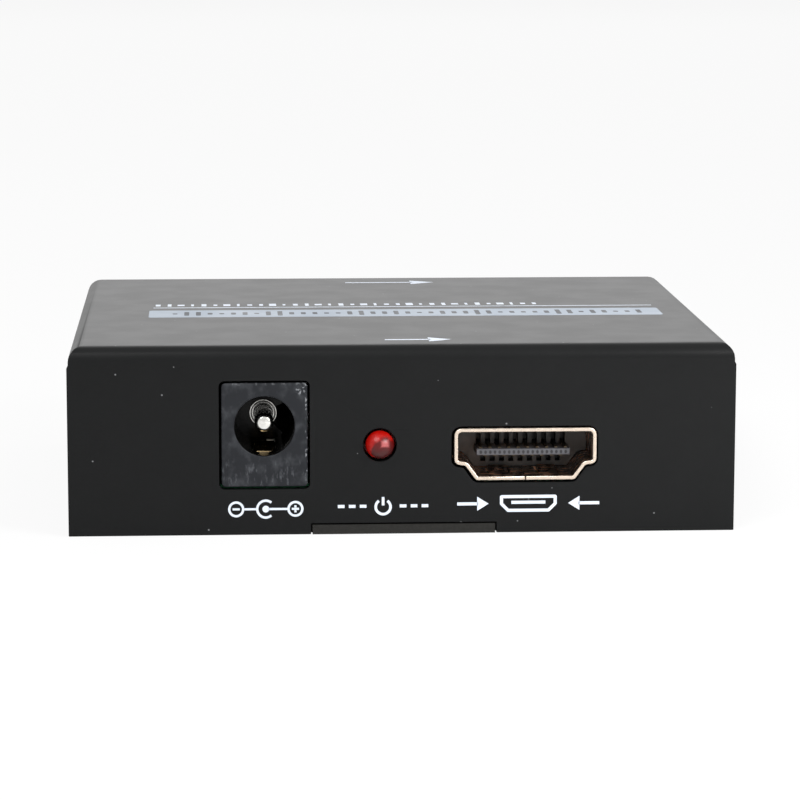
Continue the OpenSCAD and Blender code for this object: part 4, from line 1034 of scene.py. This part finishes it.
@dataclass
class Case(Assembly):
    """The folded cover, the folded base and the screws between them."""

    sheet: float = 1.0
    bend: float = 1.6
    bend_steps: int = 6
    side_step: float = 0.15
    step_z: float = 17.75
    ear_drop: float = 0.35
    seam: float = 0.12
    rim: float = 0.1
    rear_rim: float = 1.2
    fold_clearance: float = 3.0
    tab_x: float = 0.1
    tab_half: float = 9.75
    tab_top: float = 1.15
    jack_gap: float = 0.25
    jack_corner: float = 0.6
    lamp_hole: float = 1.75
    lamp_collar: float = 1.9
    socket_gap: float = 0.2
    socket_shift: float = 0.06
    screw_ys: Point2 = (-15.5, 15.5)
    screw_z: float = 9.5
    sink: float = 2.3
    sink_reach: float = 2.45
    screw_shank: float = 1.3
    screw_edge: float = 0.05

    def __post_init__(self) -> None:
        """Finds the cover's faces, its seams and the lower end of its bends."""
        self.low, self.high = low_high("cover")
        self.half = self.high.x - self.side_step
        self.top = self.high.z - INK
        self.fold_z = self.top - self.bend
        self.seam_y = self.low.y + self.sheet + self.seam

    def front_holes(self) -> list[list[Point2]]:
        """Returns the outlines of the front wall's holes."""
        low, high = low_high("dc_jack_housing")
        gap, shift = self.jack_gap, self.socket_shift
        jack = rectangle(low.x - gap, high.x + gap, low.z - gap, high.z + gap, self.jack_corner)
        lamp_x = low_high("power_led_lens")[0].x + self.lamp_collar
        lamp = circle((lamp_x, middle("power_led_lens").z), self.lamp_hole)
        socket = VideoSocket(self.finishes, Wall.FRONT).outline(self.socket_gap)
        return [jack, lamp, [(x - shift, z - shift) for x, z in socket]]

    def front_outline(self) -> list[Point3]:
        """Returns the front wall's edge from its upper left corner to its upper right one."""
        left, right, ear = self.low.x, self.high.x, self.fold_z - self.ear_drop
        tab_left, tab_right = self.tab_x - self.tab_half, self.tab_x + self.tab_half
        points = [(-self.half, ear), (left, self.step_z), (left, 0)]
        points += [(tab_left, 0), (tab_left, self.tab_top), (tab_right, self.tab_top), (tab_right, 0)]
        points += [(right, 0), (right, self.step_z), (self.half, ear)]
        return [(x, self.low.y, z) for x, z in points]

    def is_fold(self, edge: Edge) -> bool:
        """Returns whether a bend runs along an edge of the plain block."""
        point = (edge.verts[0].co + edge.verts[1].co) / 2
        return point.z > self.top - NEAR and point.y < self.high.y - NEAR

    def is_clear(self, edge: Edge) -> bool:
        """Returns whether an edge is well below the bends, or on the rear rim."""
        is_low = all(v.co.z < self.fold_z - self.fold_clearance for v in edge.verts)
        return is_low or all(v.co.y > self.high.y - self.rear_rim for v in edge.verts)

    def hang(
        self,
        piece: Workpiece,
        ends: Sequence[Point2],
        points: Sequence[Point3],
        holes: Sequence[Sequence[Point3]],
        normal: Point3,
    ) -> None:
        """Hangs an upright wall from the bends.

        Args:
            piece: The cover.
            ends: Where the wall's two upper corners are on the bend's lower end, as x and y.
            points: Its other corners, from the first end to the last.
            holes: Outlines of its holes.
            normal: The side that it looks to.
        """
        bm = piece.bm
        places = [Vector((x, y, self.fold_z)) for x, y in ends]
        first, last = [min(bm.verts, key=lambda v, at=place: (v.co - at).length) for place in places]
        edges = piece.chain(points, closed=False)
        edges += [bm.edges.new((first, edges[0].verts[0])), bm.edges.new((edges[-1].verts[1], last))]
        edges.append(bm.edges.get((first, last)))
        for hole in holes:
            edges += piece.chain(hole)
        piece.fill(edges, normal)

    def cover(self) -> None:
        """Folds the cover out of one sheet, with its seams, cut-outs and countersinks."""
        piece = Workpiece()
        bm, y = piece.bm, self.low.y
        piece.block((-self.half, y, self.low.z), (self.half, self.high.y, self.top))
        piece.round_edges(self.bend, self.bend_steps, self.is_fold)
        flat = [f for f in bm.faces if max(abs(f.normal.x), abs(f.normal.y), -f.normal.z) > FLAT]
        bmesh.ops.delete(bm, geom=flat, context="FACES")
        strip = bm.verts[:] + bm.edges[:] + bm.faces[:]
        bmesh.ops.bisect_plane(bm, geom=strip, plane_co=(0, self.seam_y, 0), plane_no=(0, 1, 0))
        holes = [[(x, y, z) for x, z in hole] for hole in self.front_holes()]
        self.hang(piece, [(-self.half, y), (self.half, y)], self.front_outline(), holes, (0, -1, 0))
        sinks = [circle((screw_y, self.screw_z), self.sink, 32) for screw_y in self.screw_ys]
        for side in (-1, 1):
            x = side * self.half
            ends = [(x, self.seam_y), (x, self.high.y)]
            holes = [[(x, a, b) for a, b in sink] for sink in sinks]
            self.hang(piece, ends, [(*end, self.low.z) for end in ends], holes, (side, 0, 0))
        bmesh.ops.recalc_face_normals(bm, faces=bm.faces)
        if max(bm.faces, key=lambda f: f.calc_center_median().z).normal.z < 0:
            bmesh.ops.reverse_faces(bm, faces=bm.faces)
        bmesh.ops.solidify(bm, geom=bm.faces[:], thickness=self.sheet)
        for side in (-1, 1):
            for screw_y in self.screw_ys:
                self.countersink(piece, Vector((side * (self.half - self.sheet), screw_y, self.screw_z)))
        piece.round_edges(self.rim, 2, self.is_clear, 50)
        self.put(piece, "cover", "cover_sheet", smooth=32)

    def countersink(self, piece: Workpiece, centre: Vector) -> None:
        """Draws in a screw hole's edge at the sheet's inner face, about the hole's middle there."""
        inner = [v for v in piece.bm.verts if (v.co - centre).length < self.sink_reach]
        share = self.screw_shank / self.sink
        space = Matrix.Translation(-centre)
        bmesh.ops.scale(piece.bm, vec=(1, share, share), space=space, verts=inner)

    def build(self) -> None:
        """Folds the cover, and works the base plate with its rear panel and the four screws."""
        self.cover()
        self.work("base_plate", "base_sheet", self.rim, lambda e: any(v.co.z > self.bend for v in e.verts))
        self.work("cover_screws", "side_screws", self.screw_edge)


@dataclass
class Prints:
    """Flat marks in one ink, drawn in a plane and laid on one face of the cover."""

    film: float = INK
    piece: Workpiece = field(default_factory=Workpiece)

    def patch(self, outline: Outline) -> None:
        """Prints a filled outline."""
        self.piece.plate(outline, self.film)

    def bar(self, centre: Point2, width: float, height: float, radius: float = 0.0) -> None:
        """Prints a rectangle about its middle."""
        x, y = centre
        self.patch(rectangle(x - width / 2, x + width / 2, y - height / 2, y + height / 2, radius))

    def band(self, outer: Outline, inner: Outline) -> None:
        """Prints the band between two outlines."""
        self.piece.plate(outer, self.film, [inner])

    def stroke(self, points: Sequence[Point2], width: float) -> None:
        """Prints a line of even width with flat ends.

        Args:
            points: The line's own points.
            width: Its width.
        """
        left, right = [], []
        for i, point in enumerate(points):
            here = Vector(point)
            into = (here - Vector(points[max(i - 1, 0)])).normalized()
            out = (Vector(points[min(i + 1, len(points) - 1)]) - here).normalized()
            into, out = into if i else out, out if i < len(points) - 1 else into
            side = mitre(into, out) * width / 2
            left.append((here + side)[:])
            right.append((here - side)[:])
        self.patch(right + left[::-1])

    def lay_front(self, name: str, finish: Finish, y: float) -> Object:
        """Lays the marks on the front, whose face is at y."""
        self.piece.turn(90, "X")
        self.piece.move((0, y, 0))
        return self.piece.finish(name, finish)

    def lay_top(self, name: str, finish: Finish, z: float) -> Object:
        """Lays the marks on the top, whose face is at z."""
        self.piece.move((0, 0, z))
        return self.piece.finish(name, finish)


@dataclass(frozen=True)
class Arrow:
    """A printed arrow that points right, with its lengths counted from its place."""

    place: Point2
    tail: float
    neck: float
    barb: float
    tip: float
    half: float
    line: float = 0.55


@dataclass
class CoverPrints(Assembly):
    """The marks on the cover's front and on its top, where depths are counted from the front wall."""

    line: float = 0.33
    polarity_place: Point2 = (-14.4, 2.75)
    power_place: Point2 = (-2.1, 2.95)
    port_place: Point2 = (13.2, 3.1)
    port_round: float = 0.2
    bar: tuple[float, float, float, float] = (-26.9, 30.4, 22.7, 28.5)
    bar_round: float = 0.4
    rule_place: Point2 = (1.8, 30.8)
    rule_size: Point2 = (56.6, 0.35)
    tick_place: Point2 = (-26, 32.9)
    tick_widths: tuple[float, ...] = (0.558, 0.31, 0.806, 0.434)
    tick_heights: tuple[float, ...] = (1.5, 1.1, 1.9)
    ticks: int = 34
    level_place: Point2 = (-24, 25.6)
    level_heights: Point2 = (0.8, 3.0)
    level_width: float = 0.55
    level_round: float = 0.2
    levels: int = 41
    pitch: float = 1.3
    arrows: tuple[Arrow, ...] = (
        Arrow((1.9, 4.2), -3.6, 1.2, 1.0, 3.4, 1.5),
        Arrow((1.5, 53), -5.4, 2.6, 2.4, 5.2, 1.6),
    )

    def __post_init__(self) -> None:
        """Finds the cover's front and top."""
        low, high = low_high("cover")
        self.front = low.y
        self.top = high.z - INK

    def polarity(self, marks: Prints) -> None:
        """Prints the sign for a plug with its positive pole in the middle."""
        x, y = self.polarity_place
        reach, ring, dash, cup, dot = 3.1, 0.85, 0.75, 0.9, 0.36
        line, thin = self.line * 0.75, self.line * 0.7
        for side, inner in ((-1, 1.03), (1, 0.3)):
            place = (x + side * reach, y)
            marks.band(circle(place, ring, 32), circle(place, ring - line, 32))
            marks.bar(place, dash, thin)
            near, far = x + side * (reach - ring), x + side * inner
            marks.bar(((near + far) / 2, y), abs(near - far), thin)
            marks.bar((x + reach, y + side * 0.26), thin, 0.24)
        marks.stroke(arc((x, y), cup, 50, 260, 24), line)
        marks.patch(circle((x, y), dot, 24))

    def power(self, marks: Prints) -> None:
        """Prints the sign for power between two rows of dashes."""
        x, y = self.power_place
        line, ring, stem, dash = self.line * 0.85, 0.78, 0.9, 0.7
        marks.stroke(arc((x, y - 0.08), ring, 125, 290, 24), line)
        marks.bar((x, y + 0.52), line, stem)
        for side in (-1, 1):
            for reach in (2.1, 3.25, 4.4):
                marks.bar((x + side * reach, y), dash, self.line)

    def port(self, marks: Prints) -> None:
        """Prints the outline of the port, with an arrow into it on either side."""
        x, y = self.port_place
        right = [(2.2, -0.9), (3, -0.1), (3, 0.9)]
        points = right + [(-across, up) for across, up in right[::-1]]
        corners = [(x + across, y + up, self.port_round) for across, up in points[-1:] + points[:-1]]
        marks.band(rounded(corners), rounded(grown(corners, -self.line)))
        tongue, shaft, head, half = 3.6, 2.2, 1.2, 0.75
        marks.bar((x, y + 0.12), tongue, self.line)
        for side in (-1, 1):
            marks.bar((x + side * 6.4, y), shaft, self.line)
            tip = x + side * 4.2
            barb = tip + side * head
            marks.patch([(tip, y), (barb, y - side * half), (barb, y + side * half)])

    def row(self, start: Point2, count: int) -> list[Point2]:
        """Returns the places of a row of marks on the top."""
        return [(start[0] + i * self.pitch, self.front + start[1]) for i in range(count)]

    def line_and_arrows(self, marks: Prints) -> None:
        """Prints the long line, the ticks behind it and the two arrows on the top."""
        marks.bar((self.rule_place[0], self.front + self.rule_place[1]), *self.rule_size)
        for i, place in enumerate(self.row(self.tick_place, self.ticks)):
            marks.bar(place, self.tick_widths[i * 7 % 4], self.tick_heights[i * 5 % 3])
        for arrow in self.arrows:
            x, y = arrow.place[0], self.front + arrow.place[1]
            barb = x + arrow.barb
            marks.stroke([(x + arrow.tail, y), (x + arrow.neck, y)], arrow.line)
            marks.patch([(x + arrow.tip, y), (barb, y + arrow.half), (barb, y - arrow.half)])

    def level_marks(self, marks: Prints) -> None:
        """Prints the row of level marks on the bar."""
        least, swing = self.level_heights
        for i, place in enumerate(self.row(self.level_place, self.levels)):
            beat = abs(math.sin(i * 0.9) * math.cos(i * 0.37))
            marks.bar(place, self.level_width, least + swing * beat, self.level_round)

    def build(self) -> None:
        """Prints the front's marks, and the top's in three inks, each a little above the last."""
        front, bar, white, dark = Prints(), Prints(), Prints(), Prints(INK * 0.9)
        self.polarity(front)
        self.power(front)
        self.port(front)
        front.lay_front("front_prints", self.finishes["ink_white"], self.front)
        left, right, near, far = self.bar
        bar.patch(rectangle(left, right, self.front + near, self.front + far, self.bar_round))
        self.line_and_arrows(white)
        self.level_marks(dark)
        bar.lay_top("top_bar", self.finishes["ink_blue"], self.top - INK * 0.55)
        white.lay_top("top_prints", self.finishes["ink_white"], self.top - INK * 0.2)
        dark.lay_top("top_levels", self.finishes["ink_dark"], self.top + INK * 0.1)


@dataclass
class PowerJack(Assembly):
    """The moulded power jack with its centre pin and its sprung leaf."""

    face_edge: float = 0.16
    face_reach: float = 0.3
    mouth: float = 3.4
    mouth_worked: float = 3.22
    mouth_edge: float = 0.06
    pin_radius: float = 1.0
    pin_crown: float = 0.6
    pin_waist: float = 0.08
    collar: float = 1.45
    collar_thick: float = 0.4
    collar_edge: float = 0.03
    bore: float = 9.2
    tail: float = 0.8
    leaf_edge: float = 0.03

    def housing(self) -> None:
        """Works the housing, with a soft edge round its face and a crisp, bright one round its bore."""
        low, high = low_high("dc_jack_housing")
        pin = middle("dc_jack_center_pin")
        piece = Workpiece()
        piece.take("dc_jack_housing")

        def is_corner(point: Vector) -> bool:
            """Returns whether a point is on the outline of the housing's face."""
            across = min(point.x - low.x, high.x - point.x, point.z - low.z, high.z - point.z)
            return point.y < low.y + NEAR and across < self.face_reach

        at_face = [v for v in piece.bm.verts if v.co.y < low.y + NEAR]
        mouth = [v for v in at_face if Vector((v.co.x - pin.x, v.co.z - pin.z)).length < self.mouth + 0.05]
        share = self.mouth_worked / self.mouth
        space = Matrix.Translation((-pin.x, 0, -pin.z))
        bmesh.ops.scale(piece.bm, vec=(share, 1, share), space=space, verts=mouth)
        rim = {v.index for v in mouth}
        piece.round_edges(self.mouth_edge, 3, lambda e: all(v.index in rim for v in e.verts), 20)
        piece.round_edges(self.face_edge, 3, lambda e: all(is_corner(v.co) for v in e.verts))
        self.put(piece, "dc_jack_housing", "jack_body")

    def pin(self) -> None:
        """Turns the centre pin with its round tip, its waist and its collar of fine rings."""
        low, high = low_high("dc_jack_center_pin")
        centre = middle("dc_jack_center_pin")
        floor = low_high("dc_jack_housing")[0].y + self.bore
        step = floor - self.collar_thick
        r, crown, collar, edge = self.pin_radius, self.pin_crown, self.collar, self.collar_edge
        waist = r - self.pin_waist
        rings = [(r, 0.36), (1.08, 0.36), (1.11, 0.14), (1.16, 0.14), (1.19, 0.38), (1.31, 0.38)]
        rings += [(1.34, 0.03), (1.37, 0)]
        profile = [
            (0, low.y),
            *((r - crown + crown * math.sin(a), low.y + crown - crown * math.cos(a)) for a in quarter(8)),
            *((r, floor - 1.1), (waist, floor - 1.0), (waist, floor - 0.9), (r, floor - 0.8)),
            *((radius, step + down) for radius, down in rings),
            *((collar - edge, step), (collar, step + edge), (collar, floor)),
            *((self.tail, floor), (self.tail, high.y), (0, high.y)),
        ]
        piece = Workpiece()
        piece.turned(profile, (centre.x, 0, centre.z))
        self.put(piece, "dc_jack_center_pin", "jack_pin")

    def build(self) -> None:
        """Builds the power jack, whose leaf moves as a plug goes in."""
        self.housing()
        self.pin()
        self.work("dc_jack_sleeve_spring", "jack_leaf", self.leaf_edge, body=Body.LEAF)


@dataclass
class PowerLamp(Assembly):
    """The round lamp in the front wall."""

    radius: float = 1.5
    collar: float = 1.9
    collar_thick: float = 1.0
    collar_edge: float = 0.06
    play: float = 0.02

    def build(self) -> None:
        """Turns the lens with its dome and its collar."""
        low, high = low_high("power_led_lens")
        r, edge, side = self.radius, self.collar_edge, self.collar - self.play
        step = high.y - self.collar_thick
        dome = [(r * math.sin(a), low.y + r - r * math.cos(a)) for a in quarter(14)]
        profile = [(0, low.y), *dome, (r, step), (self.collar - edge, step), (side, step + edge)]
        profile += [(side, high.y), (0, high.y)]
        piece = Workpiece()
        piece.turned(profile, (low.x + self.collar, 0, (low.z + high.z) / 2))
        self.put(piece, "power_led_lens", "lamp_lens")


@dataclass
class VideoSocket(Assembly):
    """A video socket's folded shell and its insulator with the tongue."""

    wall: Wall
    width: float = 15.0
    foot: float = 10.4
    foot_round: float = 0.5
    shoulder: float = 12.7
    shoulder_drop: float = 1.2
    side_drop: float = 1.05
    side_round: float = 0.6
    top_round: float = 0.8
    rim: float = 0.13
    tongue_edge: float = 0.12
    tongue_reach: float = 4.0

    def __post_init__(self) -> None:
        """Finds the socket's place."""
        self.place = VideoSocketPlace(self.wall)

    def outline(self, by: float = 0.0) -> list[Point2]:
        """Returns the shell's outline.

        Args:
            by: How far it is moved out.
        """
        w, f, s, h = self.width / 2, self.foot / 2, self.shoulder / 2, self.place.height / 2
        right = [(f, -h, self.foot_round), (s, -self.shoulder_drop, 0.5)]
        right += [(w, -self.side_drop, self.side_round), (w, h, self.top_round)]
        corners = right + [(-x, z, radius) for x, z, radius in right[::-1]]
        corners = [(self.place.x + x, self.place.z + z, r) for x, z, r in corners[-1:] + corners[:-1]]
        return rounded(grown(corners, by))

    def build(self) -> None:
        """Works the shell with a rounded rim, and the insulator with soft edges on its tongue."""
        stem, mouth = self.place.stem, self.place.mouth
        deep = abs(mouth) - self.tongue_reach

        def is_rim(edge: Edge) -> bool:
            """Returns whether an edge is on the shell's rim."""
            return all(abs(v.co.y - mouth) < NEAR / 2 for v in edge.verts)

        def is_tongue(edge: Edge) -> bool:
            """Returns whether an edge is on the insulator's tongue."""
            return all(abs(v.co.y) > deep for v in edge.verts)

        self.work(f"{stem}_shell", f"{stem}_sleeve", self.rim, is_rim, 3)
        self.work(f"{stem}_insulator", f"{stem}_block", self.tongue_edge, is_tongue)


@dataclass
class OpticalJack(Assembly):
    """The optical jack in the rear, with the shutter that a plug pushes in."""

    edge: float = 0.1
    flap_edge: float = 0.05

    def build(self) -> None:
        """Works the housing and the shutter."""
        face = low_high("optical_jack_housing")[1].y - NEAR

        def is_outer(edge: Edge) -> bool:
            """Returns whether an edge is on the housing's outer face."""
            return all(v.co.y > face for v in edge.verts)

        self.work("optical_jack_housing", "optical_body", self.edge, is_outer)
        self.work("optical_jack_shutter", "optical_flap", self.flap_edge, body=Body.SHUTTER)


@dataclass
class AudioJacks(Assembly):
    """The pair of audio jacks in the rear."""

    barrel_edge: float = 0.1
    seat_edge: float = 0.12
    centre_edge: float = 0.06

    def build(self) -> None:
        """Works each jack's barrel, the seat in it and the contact in its middle."""
        for side in ("left", "right"):
            node, name = f"audio_jack_{side}", f"audio_{side}"
            self.work(f"{node}_barrel", f"{name}_sleeve", self.barrel_edge)
            self.work(f"{node}_insulator", f"{name}_seat", self.seat_edge)
            self.work(f"{node}_contact", f"{name}_centre", self.centre_edge, slot="tinned_metal")


# Studio


@dataclass(frozen=True)
class Lamp:
    """A soft square lamp, in metres and watts."""

    name: str
    place: Point3
    size: float
    power: float
    target: Point3 = (0, 0, 0.01)

    def hang(self) -> None:
        """Hangs the lamp, turned to its target."""
        data = bpy.data.lights.new(self.name, "AREA")
        data.size = self.size
        data.energy = self.power
        made = bpy.data.objects.new(self.name, data)
        aim = Vector(self.target) - Vector(self.place)
        made.matrix_world = Matrix.Translation(self.place) @ aim.to_track_quat("-Z", "Y").to_matrix().to_4x4()
        bpy.context.scene.collection.objects.link(made)


@dataclass
class Studio:
    """The camera, the lamps, the world and the floor."""

    lens: float = 145.18
    place: Point3 = (-19.56, -360.78, 67.88)
    right: Point3 = (0.99834103, -0.05756007, 0.00142435)
    forward: Point3 = (0.0570516, 0.98557992, -0.15930266)
    up: Point3 = (0.00776566, 0.15911964, 0.98722877)
    world_light: float = 0.55
    floor_size: float = 6.0
    floor_drop: float = 0.00002
    floor_color: Color = (0.82, 0.82, 0.82)
    floor_white: float = 0.86
    lamps: tuple[Lamp, ...] = (
        Lamp("key", (-0.5, -0.6, 0.9), 0.7, 9.0),
        Lamp("glow", (0.13, -0.14, 0.1), 0.1, 0.4, (0.1, -0.11, 0)),
        Lamp("fill", (0.1, 1.2, 0.55), 0.6, 0.8),
    )

    def camera(self) -> None:
        """Places the camera as the photograph's was."""
        data = bpy.data.cameras.new("camera")
        data.sensor_width = 36
        data.lens = self.lens
        data.clip_start, data.clip_end = 0.01, 50
        made = bpy.data.objects.new("camera", data)
        columns = Matrix((self.right, self.up, [-v for v in self.forward])).transposed()
        made.matrix_world = Matrix.Translation(Vector(self.place) * MM) @ columns.to_4x4()
        bpy.context.scene.collection.objects.link(made)
        bpy.context.scene.camera = made

    def floor(self) -> None:
        """Lays a pale floor that keeps the object's shadow and looks white to the camera."""
        bm = bmesh.new()
        bmesh.ops.create_grid(bm, x_segments=4, y_segments=4, size=self.floor_size / 2)
        bmesh.ops.translate(bm, verts=bm.verts, vec=(0, 0, -self.floor_drop))
        mesh = bpy.data.meshes.new("floor")
        bm.to_mesh(mesh)
        bm.free()
        made = bpy.data.objects.new("floor", mesh)
        bpy.context.scene.collection.objects.link(made)
        material = bpy.data.materials.new("floor")
        shader = Shader(material)
        paper = shader.node("ShaderNodeBsdfDiffuse", None, {"Color": (*self.floor_color, 1)})
        white = shader.node("ShaderNodeEmission", None, {"Color": (1, 1, 1, 1), "Strength": 1.0})
        seen = shader.node("ShaderNodeLightPath", output="Is Camera Ray") * self.floor_white
        mixed = shader.node("ShaderNodeMixShader", None, {0: seen, 1: paper, 2: white})
        shader.node("ShaderNodeOutputMaterial", None, {"Surface": mixed})
        mesh.materials.append(material)

    def world(self) -> None:
        """Makes a world that is white to the camera and in reflections, and dimmer as a light."""
        world = bpy.data.worlds.new("world")
        bpy.context.scene.world = world
        shader = Shader(world)
        paths = ("Is Camera Ray", "Is Glossy Ray", "Is Transmission Ray")
        camera, glossy, through = (shader.node("ShaderNodeLightPath", output=path) for path in paths)
        seen = camera.math("MAXIMUM", glossy).math("MAXIMUM", through)
        strength = seen * (1 - self.world_light) + self.world_light
        sky = shader.node("ShaderNodeBackground", None, {"Color": (1, 1, 1, 1), "Strength": strength})
        shader.node("ShaderNodeOutputWorld", None, {"Surface": sky})

    def build(self) -> None:
        """Builds the studio."""
        self.camera()
        self.world()
        self.floor()
        for lamp in self.lamps:
            lamp.hang()
        bpy.context.scene.view_settings.view_transform = "Standard"


def main() -> None:
    """Builds the studio and the object, and logs each part as it is done."""
    logging.basicConfig(level=logging.INFO, format="%(message)s")
    Studio().build()
    finishes = Finishes()
    finishes.dress_nodes()
    sockets = [VideoSocket(finishes, wall) for wall in Wall]
    parts = [Case(finishes), CoverPrints(finishes), PowerJack(finishes), PowerLamp(finishes), *sockets]
    for part in (*parts, OpticalJack(finishes), AudioJacks(finishes)):
        part.build()
        log.info("%s is done", type(part).__name__)


if __name__ == "__main__":
    main()
